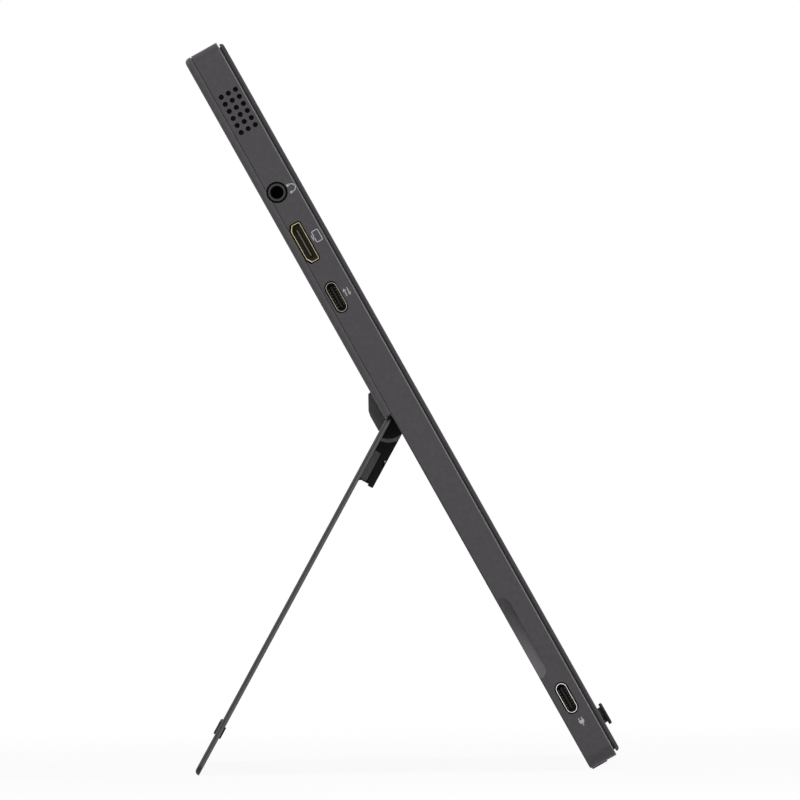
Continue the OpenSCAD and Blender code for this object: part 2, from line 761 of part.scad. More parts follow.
// The cap and its stem slide in the carrier when the stick is pressed
module joystick_cap() color([0.1, 0.1, 0.11]) on_desk() {
    round_r = 0.3;
    translate([-stick_x, 0, stick_z]) rotate([90, 0, 0])
        rotate_extrude() polygon(concat(
            [[0, -stick_cap_front]],
            arc(stick_cap_r - round_r, -stick_cap_front - round_r, round_r, 90, 0),
            [[stick_cap_r, -stick_cap_back], [stick_stem_r, -stick_cap_back],
             [stick_stem_r, -stick_stem_end], [stick_rod_r, -stick_stem_end],
             [stick_rod_r, -stick_rod_end], [0, -stick_rod_end]]));
}

// ---- Feet and screws ----

module bottom_feet() color([0.08, 0.08, 0.08]) on_desk()
    both() block([foot_in, feet_y0, -feet_t], [foot_out, feet_y1, 0]);

module bracket_screws() color([0.6, 0.6, 0.62]) on_desk()
    both() for (spot = bracket_screw_spots) {
        front_rod(screw_r, hinge_x + spot[0], leaf_plate_low + spot[1],
            leaf_plate_y - bracket_screw_len + 0.3, leaf_plate_y + leaf_plate_t);
        front_rod(screw_head_r, hinge_x + spot[0], leaf_plate_low + spot[1],
            leaf_plate_y + leaf_plate_t, leaf_plate_y + leaf_plate_t + screw_head_t);
    }

// ---- Hinges ----

// The cap's outline: a slope rising from the upper cover to a flat back, which runs down
// past the pivot to the lower lip. The lip stays clear of the widely opened arm.
function cap_outline() = let (
    flat_y = pivot_y + cap_r,
    slope_top = pivot_z + 8.8,      // where the slope leaves the cover, with a short start
    slope_start = [0.8, 0.2],
    slope_low = pivot_z + 4.7,      // where it ends, with a corner broken by this much
    corner = [0.3, 1.5],
    lip_cut = 0.2,
    lip_root = pivot_z - 0.2)       // where the lip's underside meets the cover's back
    [[cover_back, slope_top + slope_start[1]], [cover_back + slope_start[0], slope_top],
     [flat_y - corner[0], slope_low], [flat_y, slope_low - corner[1]],
     [flat_y, pivot_z - cap_lip_drop + lip_cut], [flat_y - lip_cut, pivot_z - cap_lip_drop],
     [cover_back, lip_root]];

// The block that the cap is cut from, with its ends rounded towards the back
module cap_block() {
    round_y = pivot_y + cap_r - cap_end_r;
    translate([0, 0, pivot_z - cap_r]) linear_extrude(4 * cap_r) polygon(concat(
        [[cap_in, cover_back - 1], [cap_out, cover_back - 1]],
        arc(cap_out - cap_end_r, round_y, cap_end_r, 0, 90),
        arc(cap_in + cap_end_r, round_y, cap_end_r, 90, 180)));
}

module hinge_cap() difference() {
    intersection() {
        side_bar(cap_outline(), cap_in, cap_out);
        cap_block();
    }
    side_rod(cap_cavity_r, pivot_y, pivot_z, cap_in + cap_wall, cap_out - cap_wall);
}
module hinge_cap_left() color([0.3, 0.3, 0.31]) on_desk() left() hinge_cap();
module hinge_cap_right() color([0.3, 0.3, 0.31]) on_desk() right() hinge_cap();

// A steel leaf screwed to the ledge, with two ears that hold the pin
module hinge_bracket() difference() {
    union() {
        block([ear_in, leaf_plate_y, leaf_plate_low], [ear_out, leaf_plate_y + leaf_plate_t, leaf_plate_top]);
        for (x = [ear_in, ear_out - ear_t]) {
            side_rod(ear_r, pivot_y, pivot_z, x, x + ear_t);
            block([x, leaf_plate_y, pivot_z], [x + ear_t, pivot_y, leaf_plate_low + ear_web_rise]);
        }
    }
    side_rod(pin_r, pivot_y, pivot_z, ear_in - 1, ear_out + 1);
    for (spot = bracket_screw_spots)
        front_rod(screw_r + 0.1, hinge_x + spot[0], leaf_plate_low + spot[1],
            leaf_plate_y - 1, leaf_plate_y + leaf_plate_t + 1);
}
module hinge_bracket_left() color([0.55, 0.55, 0.57]) on_desk() left() hinge_bracket();
module hinge_bracket_right() color([0.55, 0.55, 0.57]) on_desk() right() hinge_bracket();

module hinge_pin() side_rod(pin_r, pivot_y, pivot_z, ear_in, ear_out);
module hinge_pin_left() color([0.7, 0.7, 0.72]) on_desk() left() hinge_pin();
module hinge_pin_right() color([0.7, 0.7, 0.72]) on_desk() right() hinge_pin();

// Spring washers that squeeze the knuckle, so that the stand stays where it is put
module friction_washers() {
    washer_r = 2.6;
    gap = 0.04;
    for (i = [0:washer_count - 1]) let (x = ear_in + ear_t + i * washer_t) difference() {
        side_rod(washer_r, pivot_y, pivot_z, x, x + washer_t - gap);
        side_rod(pin_r + 0.02, pivot_y, pivot_z, x - 1, x + washer_t + 1);
    }
}
module friction_washers_left() color([0.75, 0.72, 0.6]) on_desk() left() friction_washers();
module friction_washers_right() color([0.75, 0.72, 0.6]) on_desk() right() friction_washers();

// The arm's side outline beside the cap, with the small foot at its lower end
function arm_outline() = let (
    top_cut = 0.4,
    foot_cut = 0.2,
    foot_t = 1.6)
    [[plate_front, plate_top], [arm_front + top_cut, plate_top], [arm_front, plate_top - top_cut],
     [arm_front, arm_low + foot_cut], [arm_front + foot_cut, arm_low], [arm_front + foot_t, arm_low],
     [arm_front + foot_t, arm_low + arm_foot], [plate_front - arm_foot, arm_low + arm_foot],
     [plate_front, arm_low + 0.1]];

// A quarter ring about the pivot, kept between the plate and the arm's inner face
module leaf_band(r0, r1, x0, x1) intersection() {
    difference() {
        side_rod(r1, pivot_y, pivot_z, x0, x1);
        side_rod(r0, pivot_y, pivot_z, x0 - 1, x1 + 1);
    }
    block([x0 - 1, arm_front, pivot_z - r1 - 1], [x1 + 1, plate_front, pivot_z]);
}

module edge_screw_hole(r)
    front_rod(r, hinge_x + edge_screw_spot[0], plate_top - edge_screw_spot[1], arm_front, plate_front + 1);

module hinge_arm() {
    knuckle_gap = 0.03;
    bore_r = pin_r + knuckle_gap;
    neck_t = 1.5;
    neck_back = 0.4;        // how far the neck stands in from the plate, to clear the cap's lip
    neck_side = 0.4;
    overlap = 0.5;
    base_gap = 0.1;
    rebate_half = edge_head_r + 0.15;
    difference() {
        union() {
            side_bar(arm_outline(), block_in, arm_out);
            block([arm_in, plate_front - arm_base_t, arm_low + arm_foot],
                [block_in + overlap, plate_front, arm_base_top]);
            block([knuckle_in + neck_side, plate_front - neck_back - neck_t, arm_base_top - overlap],
                [knuckle_out - neck_side, plate_front - neck_back, pivot_z]);
            side_rod(knuckle_r, pivot_y, pivot_z, knuckle_in, knuckle_out);
        }
        side_rod(bore_r, pivot_y, pivot_z, knuckle_in - 1, knuckle_out + 1);
        leaf_band(leaf_r0, leaf_r1, boss_in, arm_out + 1);
        // room for the plate's boss
        block([boss_in - base_gap, plate_front - boss_t - base_gap, boss_low - base_gap],
            [arm_out + 1, plate_front + 1, boss_top + base_gap]);
        for (spot = arm_screw_spots)
            front_rod(screw_r + 0.1, hinge_x + spot[0], plate_top - spot[1], arm_front - 1, plate_front + 1);
        edge_screw_hole(edge_screw_r + 0.1);
        block([hinge_x + edge_screw_spot[0] - rebate_half, arm_front - 1,
                plate_top - edge_screw_spot[1] - rebate_half],
            [arm_out + 1, arm_front + edge_rebate, plate_top - edge_screw_spot[1] + rebate_half]);
    }
}
module hinge_arm_left() color([0.09, 0.09, 0.1]) swung() left() hinge_arm();
module hinge_arm_right() color([0.09, 0.09, 0.1]) swung() right() hinge_arm();

// The steel leaf inside the arm, whose curved end shows on the arm's side
module hinge_leaf() leaf_band(leaf_r0, leaf_r1, boss_in, arm_out);
module hinge_leaf_left() color([0.5, 0.5, 0.52]) swung() left() hinge_leaf();
module hinge_leaf_right() color([0.5, 0.5, 0.52]) swung() right() hinge_leaf();

module arm_screws() color([0.75, 0.75, 0.78]) swung()
    both() {
        seat = plate_front - arm_base_t;
        for (spot = arm_screw_spots) {
            front_rod(screw_r, hinge_x + spot[0], plate_top - spot[1], seat, plate_front + 1);
            front_rod(screw_head_r, hinge_x + spot[0], plate_top - spot[1], seat - screw_head_t / 3, seat);
        }
        front_rod(edge_screw_r, hinge_x + edge_screw_spot[0], plate_top - edge_screw_spot[1],
            arm_front + edge_rebate, plate_front + 1);
        front_rod(edge_head_r, hinge_x + edge_screw_spot[0], plate_top - edge_screw_spot[1],
            arm_front + 0.1, arm_front + edge_rebate);
    }

// ---- Cover plate ----

module cover_plate() color([0.36, 0.36, 0.37]) swung() {
    bottom_r = 3;
    top_r = 1.6;
    difference() {
        union() {
            soft_plate(-plate_half, plate_half, plate_low, plate_top, bottom_r, top_r,
                plate_front, plate_back, plate_inner_r, plate_edge_r, tip_r);
            both() block([boss_in, plate_front - boss_t, boss_low],
                [boss_out, plate_front + 0.5, boss_top]);
        }
        // notches that clear the hinge caps
        both() block([cap_in - notch_side, plate_front - 1, notch_low],
            [cap_out + notch_side, plate_back + 1, plate_top + 1]);
        both() {
            for (spot = arm_screw_spots)
                front_rod(screw_r, hinge_x + spot[0], plate_top - spot[1],
                    plate_front - 1, plate_front + 1);
            edge_screw_hole(edge_screw_r);
        }
    }
}

module plate_foot() color([0.13, 0.13, 0.13]) swung()
    side_bar([[plate_back, outer_strip_low + 0.2], [plate_back + outer_strip_t / 2, outer_strip_low],
        [plate_back + outer_strip_t, outer_strip_low + 0.3],
        [plate_back + outer_strip_t, outer_strip_top - 0.2], [plate_back, outer_strip_top]],
        -strip_half, strip_half);

module plate_bumper() color([0.08, 0.08, 0.08]) swung()
    block([-strip_half, plate_front - inner_strip_t, inner_strip_low],
        [strip_half, plate_front, inner_strip_top]);

main_housing();
rear_cover();
front_bezel();
screen_glass();
backlight_unit();
panel_board();
panel_cable();
main_board();
side_board();
power_cable();
speaker_left();
speaker_right();
grille_mesh_left();
grille_mesh_right();
headphone_socket();
video_socket_shell();
video_socket_tongue();
upper_c_shell();
upper_c_tongue();
lower_c_shell();
lower_c_tongue();
joystick_board();
joystick_base();
joystick_ring();
joystick_carrier();
joystick_cap();
bottom_feet();
board_screws();
bracket_screws();
hinge_cap_left();
hinge_cap_right();
hinge_bracket_left();
hinge_bracket_right();
hinge_pin_left();
hinge_pin_right();
friction_washers_left();
friction_washers_right();
cover_plate();
hinge_arm_left();
hinge_arm_right();
hinge_leaf_left();
hinge_leaf_right();
arm_screws();
plate_foot();
plate_bumper();
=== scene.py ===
# %% [markdown]
# # A portable monitor that stands on its own rear cover
#
# The object is a thin screen in a moulded tray. The lower half of its back is a plate
# on two friction hinges: folded flat it covers the back, and swung out it is the stand.
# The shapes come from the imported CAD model, which is loaded first and never changed.
# This script gives them their finishes, rounds their edges, and adds the small things
# that a solid model leaves out: contacts, screw recesses, printed signs, woven mesh.

# %% Load the frame
import json
import math

import bmesh
import bpy
import numpy as np
from mathutils import Matrix, Vector


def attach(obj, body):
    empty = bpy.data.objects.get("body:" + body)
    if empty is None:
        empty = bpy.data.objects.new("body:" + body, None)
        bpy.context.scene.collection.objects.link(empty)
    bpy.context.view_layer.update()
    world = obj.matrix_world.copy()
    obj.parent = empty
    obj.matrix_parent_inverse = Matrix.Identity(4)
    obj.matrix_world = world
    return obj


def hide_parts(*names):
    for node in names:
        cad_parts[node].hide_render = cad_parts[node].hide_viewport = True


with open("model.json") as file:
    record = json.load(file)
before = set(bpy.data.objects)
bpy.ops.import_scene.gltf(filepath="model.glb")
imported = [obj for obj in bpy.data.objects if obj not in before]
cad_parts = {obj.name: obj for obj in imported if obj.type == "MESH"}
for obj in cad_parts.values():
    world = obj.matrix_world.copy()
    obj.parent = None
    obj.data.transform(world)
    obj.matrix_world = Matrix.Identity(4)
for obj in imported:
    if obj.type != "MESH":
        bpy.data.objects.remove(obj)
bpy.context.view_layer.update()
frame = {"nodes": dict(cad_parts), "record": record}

# %% [markdown]
# ## One way to say where things are
#
# The monitor leans back and its plate is swung out, so places on it are awkward to give
# in the room's directions. The CAD source draws everything upright and in millimetres,
# x across, y from the bezel's front towards the back, z up from the lower edge. The same
# is done here: each new piece is worked out upright, and its points are then leaned (or
# swung and leaned) to their place, which keeps every object at the origin.

# %% Upright millimetres to the place in the frame
MM = 0.001
TILT = math.radians(28.5)
PLATE_OPEN = math.radians(57.7911)
DESK_SHIFT, DESK_RISE = -58.7993, 4.74139
PIVOT_Y, PIVOT_Z = 11.0, 110.8
HALF_W = 177.5


def leaned(points):
    """Upright millimetres to metres in the frame: a turn about x by the tilt, then a move onto the desk."""
    p = np.asarray(points, float)
    c, s = math.cos(TILT), math.sin(TILT)
    y = p[..., 1] * c + p[..., 2] * s + DESK_SHIFT
    z = -p[..., 1] * s + p[..., 2] * c + DESK_RISE
    return np.stack([p[..., 0], y, z], -1) * MM


def swung(points):
    """The same for what rides on the plate, drawn closed: first a turn about the hinge line by PLATE_OPEN."""
    p = np.asarray(points, float)
    c, s = math.cos(PLATE_OPEN), math.sin(PLATE_OPEN)
    y, z = p[..., 1] - PIVOT_Y, p[..., 2] - PIVOT_Z
    return leaned(np.stack([p[..., 0], PIVOT_Y + y * c - z * s, PIVOT_Z + y * s + z * c], -1))


def upright(points):
    """The way back for the display: metres in the frame to upright millimetres."""
    p = np.asarray(points, float) / MM - (0, DESK_SHIFT, DESK_RISE)
    c, s = math.cos(TILT), math.sin(TILT)
    return np.stack([p[..., 0], p[..., 1] * c - p[..., 2] * s, p[..., 1] * s + p[..., 2] * c], -1)


print("hinge line at", leaned([0, PIVOT_Y, PIVOT_Z]).round(5))

# %% [markdown]
# ## Camera
#
# The photograph looks straight along the hinge line at the side with the sockets, from
# so far away that the far end hides behind the near one. A very long lens does that. The
# picture is turned by less than a degree: it shows in the line from foot to plate tip.

# %% Camera at the photograph's place
PIXELS_PER_MM = 3.6485
CAMERA_DISTANCE = 9000.0
AIM_Y, AIM_Z = 0.489, 102.126
ROLL = math.radians(0.858)

camera_data = bpy.data.cameras.new("camera")
camera_data.sensor_width = 36
camera_data.lens = CAMERA_DISTANCE * PIXELS_PER_MM * camera_data.sensor_width / 800
camera_data.clip_start, camera_data.clip_end = 0.05, 50
camera = bpy.data.objects.new("camera", camera_data)
bpy.context.scene.collection.objects.link(camera)
c, s = math.cos(ROLL), math.sin(ROLL)
camera.matrix_world = Matrix((
    (0, 0, -1, -(HALF_W + CAMERA_DISTANCE) * MM),
    (-c, -s, 0, AIM_Y * MM),
    (-s, c, 0, AIM_Z * MM),
    (0, 0, 0, 1)))
bpy.context.scene.camera = camera
bpy.context.scene.view_settings.view_transform = "Standard"
print("lens in mm:", round(camera_data.lens, 1))

# %% [markdown]
# ## Room and light
#
# The photograph is a cut-out look: everything round the object is white. White lamps
# strong enough for that would wash the dark plastic out, so the floor and the world are
# white only for rays that come straight from the camera or off a mirror, and the lamps
# stay at a level where a colour renders as it is written. Near the object a small share
# of the floor's colour stays real, and keeps the shadow. From below the floor is clear,
# so that the underside can be looked at as well.


# %% A colour as one would pick it on a screen
def tone(r, g, b):
    """Screen values from 0 to 1 as the linear values a shader takes: the standard curve, worked backwards."""
    v = np.array([r, g, b], float)
    linear = np.where(v <= 0.04045, v / 12.92, ((v + 0.055) / 1.055) ** 2.4)
    return (*linear, 1.0)


print("a screen grey of 0.27 is", round(float(tone(0.27, 0.27, 0.27)[0]), 4), "in linear light")


# %% Small helpers for node trees
def joined(tree, out_socket, in_socket):
    tree.links.new(out_socket, in_socket)


def new_node(tree, kind, **values):
    """A node with some of its inputs set; an underscore in a name stands for a space."""
    node = tree.nodes.new(kind)
    for label, value in values.items():
        node.inputs[label.replace("_", " ")].default_value = value
    return node


def maths(tree, operation, a, b=None, clamp=False):
    """One Math node; a and b are sockets or numbers."""
    node = tree.nodes.new("ShaderNodeMath")
    node.operation, node.use_clamp = operation, clamp
    for k, v in enumerate([a] if b is None else [a, b]):
        if isinstance(v, (int, float)):
            node.inputs[k].default_value = v
        else:
            joined(tree, v, node.inputs[k])
    return node.outputs[0]


def smooth_step(tree, value, start, end, low=0.0, high=1.0):
    """A Map Range node that goes smoothly from low to high as the value goes from start to end."""
    node = new_node(tree, "ShaderNodeMapRange", To_Min=low, To_Max=high)
    node.interpolation_type = "SMOOTHSTEP"
    joined(tree, value, node.inputs["Value"])
    for label, edge in (("From Min", start), ("From Max", end)):
        if isinstance(edge, (int, float)):
            node.inputs[label].default_value = edge
        else:
            joined(tree, edge, node.inputs[label])
    return node.outputs["Result"]


def either_shader(tree, share, first, second):
    """A Mix Shader node: first where the share is 0, second where it is 1."""
    node = tree.nodes.new("ShaderNodeMixShader")
    for k, socket in enumerate((share, first, second)):
        joined(tree, socket, node.inputs[k])
    return node.outputs[0]


def looked_at(tree, path):
    """1 for rays that see a surface directly, in a mirror or through glass, 0 for those that carry its light."""
    reflected = maths(tree, "MAXIMUM", path.outputs["Is Camera Ray"], path.outputs["Is Glossy Ray"])
    return maths(tree, "MAXIMUM", reflected, path.outputs["Is Transmission Ray"])


def emptied(tree):
    """The tree itself, once its default nodes are gone."""
    tree.nodes.clear()
    return tree


print("rays that see white: camera, glossy and transmission")


# %% World: white to look at, a soft grey sky as light
world = bpy.data.worlds.new("studio")
bpy.context.scene.world = world
world.use_nodes = True
tree = emptied(world.node_tree)
path = tree.nodes.new("ShaderNodeLightPath")
seen = new_node(tree, "ShaderNodeBackground", Color=(1, 1, 1, 1), Strength=1.0)
lit = new_node(tree, "ShaderNodeBackground", Color=(1.0, 0.99, 0.985, 1), Strength=0.24)
sky = either_shader(tree, looked_at(tree, path), lit.outputs[0], seen.outputs[0])
joined(tree, sky, tree.nodes.new("ShaderNodeOutputWorld").inputs["Surface"])
print("world nodes:", len(tree.nodes))

# %% Floor: a sheet just under the object
FLOOR_HALF, FLOOR_Z = 6.0, -5e-5
CORNERS = ((-1, -1), (1, -1), (1, 1), (-1, 1))
floor_mesh = bpy.data.meshes.new("floor")
floor_mesh.from_pydata([(FLOOR_HALF * x, FLOOR_HALF * y, FLOOR_Z) for x, y in CORNERS], [], [(0, 1, 2, 3)])
floor = bpy.data.objects.new("floor", floor_mesh)
bpy.context.scene.collection.objects.link(floor)
print("floor reaches", FLOOR_HALF, "m to each side")

# %% Paper for the floor: all white far from the object, with a trace of its shadow close to it
NEAR, FAR = 0.2, 1.2            # metres from the middle
WHITE_NEAR, WHITE_FAR = 0.94, 1.0
paper = bpy.data.materials.new("white_paper")
paper.use_nodes = True
tree = emptied(paper.node_tree)
path = tree.nodes.new("ShaderNodeLightPath")
matte = new_node(tree, "ShaderNodeBsdfDiffuse", Color=(0.9, 0.9, 0.9, 1))
glow = new_node(tree, "ShaderNodeEmission", Color=(1, 1, 1, 1), Strength=1.0)
distance = tree.nodes.new("ShaderNodeVectorMath")
distance.operation = "LENGTH"
joined(tree, tree.nodes.new("ShaderNodeTexCoord").outputs["Object"], distance.inputs[0])
fade = smooth_step(tree, distance.outputs["Value"], NEAR, FAR, WHITE_NEAR, WHITE_FAR)
share = maths(tree, "MULTIPLY", looked_at(tree, path), fade)
from_above = either_shader(tree, share, matte.outputs[0], glow.outputs[0])
backfacing = tree.nodes.new("ShaderNodeNewGeometry").outputs["Backfacing"]
from_below = maths(tree, "MULTIPLY", backfacing, path.outputs["Is Camera Ray"])
clear = tree.nodes.new("ShaderNodeBsdfTransparent").outputs[0]
sheet = either_shader(tree, from_below, from_above, clear)
joined(tree, sheet, tree.nodes.new("ShaderNodeOutputMaterial").inputs["Surface"])
floor_mesh.materials.append(paper)
print("near the object", round(1 - WHITE_NEAR, 2), "of the floor's look is real")


# %% Lamps: a soft box high beside the camera, a low fill there, one before the screen and one behind
def soft_box(name, place, aim, size, watts):
    """A square area lamp that looks from place to aim."""
    data = bpy.data.lights.new(name, "AREA")
    data.shape = "SQUARE"
    data.size = size
    data.energy = watts
    lamp = bpy.data.objects.new(name, data)
    bpy.context.scene.collection.objects.link(lamp)
    direction = np.array(aim, float) - np.array(place, float)
    lamp.matrix_world = Matrix.Translation(place) @ (
        Vector(direction).to_track_quat("-Z", "Y").to_matrix().to_4x4())


MIDDLE = (0, 0, 0.1)
soft_box("key_box", (-1.8, 0.3, 1.6), MIDDLE, 0.9, 9.5)
soft_box("fill_box", (-2.4, 0.2, 0.3), MIDDLE, 0.8, 9)
soft_box("front_box", (0.0, -1.9, 1.0), MIDDLE, 1.0, 13)
soft_box("back_box", (0.6, 1.8, 1.4), MIDDLE, 1.2, 8)

# %% [markdown]
# ## Effects that several finishes share
#
# Close up, no part of this object is smooth: moulded plastic has a fine spark-eroded
# grain, its tone wanders a little from place to place, and dust settles on what faces up.
# The scoops are painted lighter towards their lower ends, which face up: painted light.
# Each effect could be built again in every material, but a node group is built once and
# each finish sets its own amounts. A group gives out heights, masks and colours; the
# shader itself stays in the material.


# %% Making a node group
def new_group(name, inputs, outputs):
    """An empty shader group with the named sockets. inputs and outputs are (name, socket type, value)."""
    group = bpy.data.node_groups.new(name, "ShaderNodeTree")
    for label, kind, value in inputs:
        socket = group.interface.new_socket(label, in_out="INPUT", socket_type=kind)
        if value is not None:
            socket.default_value = value
    for label, kind in outputs:
        group.interface.new_socket(label, in_out="OUTPUT", socket_type=kind)
    print("group", name, "takes", [label for label, kind, value in inputs])
    return group, group.nodes.new("NodeGroupInput"), group.nodes.new("NodeGroupOutput")


def noise(tree, vector, scale, detail):
    """The value of a Noise Texture; the scale is a socket or a number."""
    node = new_node(tree, "ShaderNodeTexNoise", Detail=detail)
    joined(tree, vector, node.inputs["Vector"])
    if isinstance(scale, (int, float)):
        node.inputs["Scale"].default_value = scale
    else:
        joined(tree, scale, node.inputs["Scale"])
    return node.outputs["Fac"]


FLOAT, COLOUR = "NodeSocketFloat", "NodeSocketColor"

# %% Fine grain: a height for the bump, and speckles that lighten the tops of the grain
grain, gi, go = new_group("fine_grain", [("Scale", FLOAT, 1800.0)],
                          [("Height", FLOAT), ("Speckle", FLOAT)])
spot = grain.nodes.new("ShaderNodeTexCoord").outputs["Object"]
fine = noise(grain, spot, gi.outputs["Scale"], 2.0)
coarse = noise(grain, spot, maths(grain, "MULTIPLY", gi.outputs["Scale"], 0.37), 3.0)
height = maths(grain, "ADD", maths(grain, "MULTIPLY", fine, 0.6), maths(grain, "MULTIPLY", coarse, 0.4))
joined(grain, height, go.inputs["Height"])
speckle = maths(grain, "MULTIPLY", maths(grain, "SUBTRACT", coarse, 0.42), 4.0, True)
joined(grain, speckle, go.inputs["Speckle"])

# %% Wandering tone: the colour, lighter and darker by a share of itself over a few centimetres
wander, wi, wo = new_group(
    "wandering_tone",
    [("Colour", COLOUR, (0.5, 0.5, 0.5, 1)), ("Amount", FLOAT, 0.08), ("Scale", FLOAT, 45.0)],
    [("Colour", COLOUR)])
spot = wander.nodes.new("ShaderNodeTexCoord").outputs["Object"]
broad = noise(wander, spot, wi.outputs["Scale"], 4.0)
swing_by = maths(wander, "MULTIPLY", maths(wander, "SUBTRACT", broad, 0.5), wi.outputs["Amount"])
factor = maths(wander, "ADD", maths(wander, "MULTIPLY", swing_by, 2.0), 1.0)
scaled = wander.nodes.new("ShaderNodeVectorMath")
scaled.operation = "SCALE"
joined(wander, wi.outputs["Colour"], scaled.inputs[0])
joined(wander, factor, scaled.inputs["Scale"])
joined(wander, scaled.outputs[0], wo.inputs["Colour"])

# %% Settled dust: a mask that is strongest where the surface faces up, broken by noise
dust, di, do = new_group("settled_dust", [("Amount", FLOAT, 0.1)], [("Mask", FLOAT)])
coords = dust.nodes.new("ShaderNodeTexCoord")
split = dust.nodes.new("ShaderNodeSeparateXYZ")
joined(dust, coords.outputs["Normal"], split.inputs[0])
up = maths(dust, "MULTIPLY", maths(dust, "SUBTRACT", split.outputs["Z"], 0.15), 1.4, True)
specks = noise(dust, coords.outputs["Object"], 900.0, 3.0)
broken = maths(dust, "MULTIPLY", maths(dust, "SUBTRACT", specks, 0.35), 2.2, True)
settled = maths(dust, "MULTIPLY", maths(dust, "MULTIPLY", up, broken), di.outputs["Amount"])
joined(dust, settled, do.inputs["Mask"])

# %% Painted light in the scoops: a mask that grows from 0 to 1 between two heights, in upright millimetres
painted_scoop_light, ri, ro = new_group("painted_light_down_to", [("From", FLOAT, 50.0), ("To", FLOAT, 30.0)], [("Mask", FLOAT)])
along_z = painted_scoop_light.nodes.new("ShaderNodeVectorMath")
along_z.operation = "DOT_PRODUCT"
joined(painted_scoop_light, painted_scoop_light.nodes.new("ShaderNodeTexCoord").outputs["Object"], along_z.inputs[0])
along_z.inputs[1].default_value = (0, math.sin(TILT) / MM, math.cos(TILT) / MM)
height = maths(painted_scoop_light, "ADD", along_z.outputs["Value"], float(upright([0, 0, 0])[2]))
joined(painted_scoop_light, smooth_step(painted_scoop_light, height, ri.outputs["From"], ri.outputs["To"]), ro.inputs["Mask"])

# %% Black tape round a panel: a mask for what is more than so many metres from the middle, left or right
tape, ti, to = new_group("edge_tape", [("From", FLOAT, 0.17)], [("Mask", FLOAT)])
split = tape.nodes.new("ShaderNodeSeparateXYZ")
joined(tape, tape.nodes.new("ShaderNodeTexCoord").outputs["Object"], split.inputs[0])
aside = maths(tape, "ABSOLUTE", split.outputs["X"])
joined(tape, maths(tape, "GREATER_THAN", aside, ti.outputs["From"]), to.inputs["Mask"])
print(len(bpy.data.node_groups), "groups")

# %% [markdown]
# ## Finishes
#
# A finish is one material per kind of surface. Most plastics and the painted plate get
# grain, wandering tone and dust at different strengths. The metals are drawn or stamped,
# so their grain is shallower or absent, and no dust shows on them. What stays the same
# all over a surface, such as how metallic it is, is set on the shader's own sockets.


# %% Building a finish
finishes = {}
DUST_COLOUR = (0.62, 0.61, 0.59)
TAPE_COLOUR = (0.05, 0.05, 0.05)
# The second lift is painted light: how much lighter the scoops' lower ends are painted.
SPECKLE_LIFT, PAINTED_LIGHT_LIFT = 0.16, 0.15      # how much lighter, in screen values


def lighter(colour, lift):
    """The colour with the same amount added to each screen value."""
    return tone(*(min(1.0, v + lift) for v in colour))


def finish(name, colour, roughness, metallic=0.0, grain_scale=1800.0, grain_depth=0.0, wander_by=0.08,
           dust_by=0.0, speckle_by=0.0, rough_by=0.0, tape_from=None, painted_light_to=None, **sockets):
    """One material: the base colour wanders, is lightened by speckles, dust and painted light in the scoops, and
    the grain makes the bump.
    The colour is in screen values; tape_from and the two heights of the scoops' painted light are in millimetres."""
    mat = bpy.data.materials.new(name)
    mat.use_nodes = True
    tree = mat.node_tree
    shader = tree.nodes["Principled BSDF"]
    shader.inputs["Metallic"].default_value = metallic
    shader.inputs["Roughness"].default_value = roughness
    for label, value in sockets.items():
        shader.inputs[label.replace("_", " ")].default_value = value
    mat.diffuse_color = tone(*colour)

    def placed(group, **values):
        node = tree.nodes.new("ShaderNodeGroup")
        node.node_tree = group
        for label, value in values.items():
            node.inputs[label].default_value = value
        return node

    def blended(factor, a, b):
        """Mix colour a towards colour b by a mask socket."""
        node = tree.nodes.new("ShaderNodeMix")
        node.data_type = "RGBA"
        joined(tree, factor, node.inputs["Factor"])
        joined(tree, a, node.inputs["A"])
        node.inputs["B"].default_value = b
        return node.outputs["Result"]

    shade = placed(wander, Colour=tone(*colour), Amount=wander_by).outputs["Colour"]
    if grain_depth or speckle_by or rough_by:
        fine = placed(grain, Scale=grain_scale)
        if speckle_by:
            tops = maths(tree, "MULTIPLY", fine.outputs["Speckle"], speckle_by)
            shade = blended(tops, shade, lighter(colour, SPECKLE_LIFT))
        if rough_by:
            rough = maths(tree, "ADD", maths(tree, "MULTIPLY", fine.outputs["Speckle"], rough_by), roughness)
            joined(tree, rough, shader.inputs["Roughness"])
        if grain_depth:
            bump = tree.nodes.new("ShaderNodeBump")
            bump.inputs["Strength"].default_value = 1.0
            bump.inputs["Distance"].default_value = grain_depth * MM
            joined(tree, fine.outputs["Height"], bump.inputs["Height"])
            joined(tree, bump.outputs[0], shader.inputs["Normal"])
    if dust_by:
        shade = blended(placed(dust, Amount=dust_by).outputs["Mask"], shade, tone(*DUST_COLOUR))
    # Painted light: the scoops are painted lighter towards their lower ends, which face up.
    if painted_light_to:
        lit_share = placed(painted_scoop_light, From=painted_light_to[0], To=painted_light_to[1]).outputs["Mask"]
        shade = blended(lit_share, shade, lighter(colour, PAINTED_LIGHT_LIFT))
    if tape_from:
        shade = blended(placed(tape, From=tape_from * MM).outputs["Mask"], shade, tone(*TAPE_COLOUR))
    joined(tree, shade, shader.inputs["Base Color"])
    finishes[name] = mat


# %% Plastics, paint and rubber
PLASTIC = dict(grain_depth=0.015, speckle_by=0.16, rough_by=0.06, dust_by=0.05, wander_by=0.03,
               Specular_IOR_Level=0.3)
finish("housing_plastic", (0.272, 0.262, 0.274), 0.52, **PLASTIC)
# A lighter copy for edge strips: a little wear and a painted highlight.
finish("housing_edge_wear_and_highlight", (0.310, 0.300, 0.312), 0.45, **PLASTIC)
# A much lighter copy: a painted highlight on the housing's front rounding and the rear cover's edge strips.
finish("painted_highlight_edge", (0.480, 0.470, 0.480), 0.40, **PLASTIC)
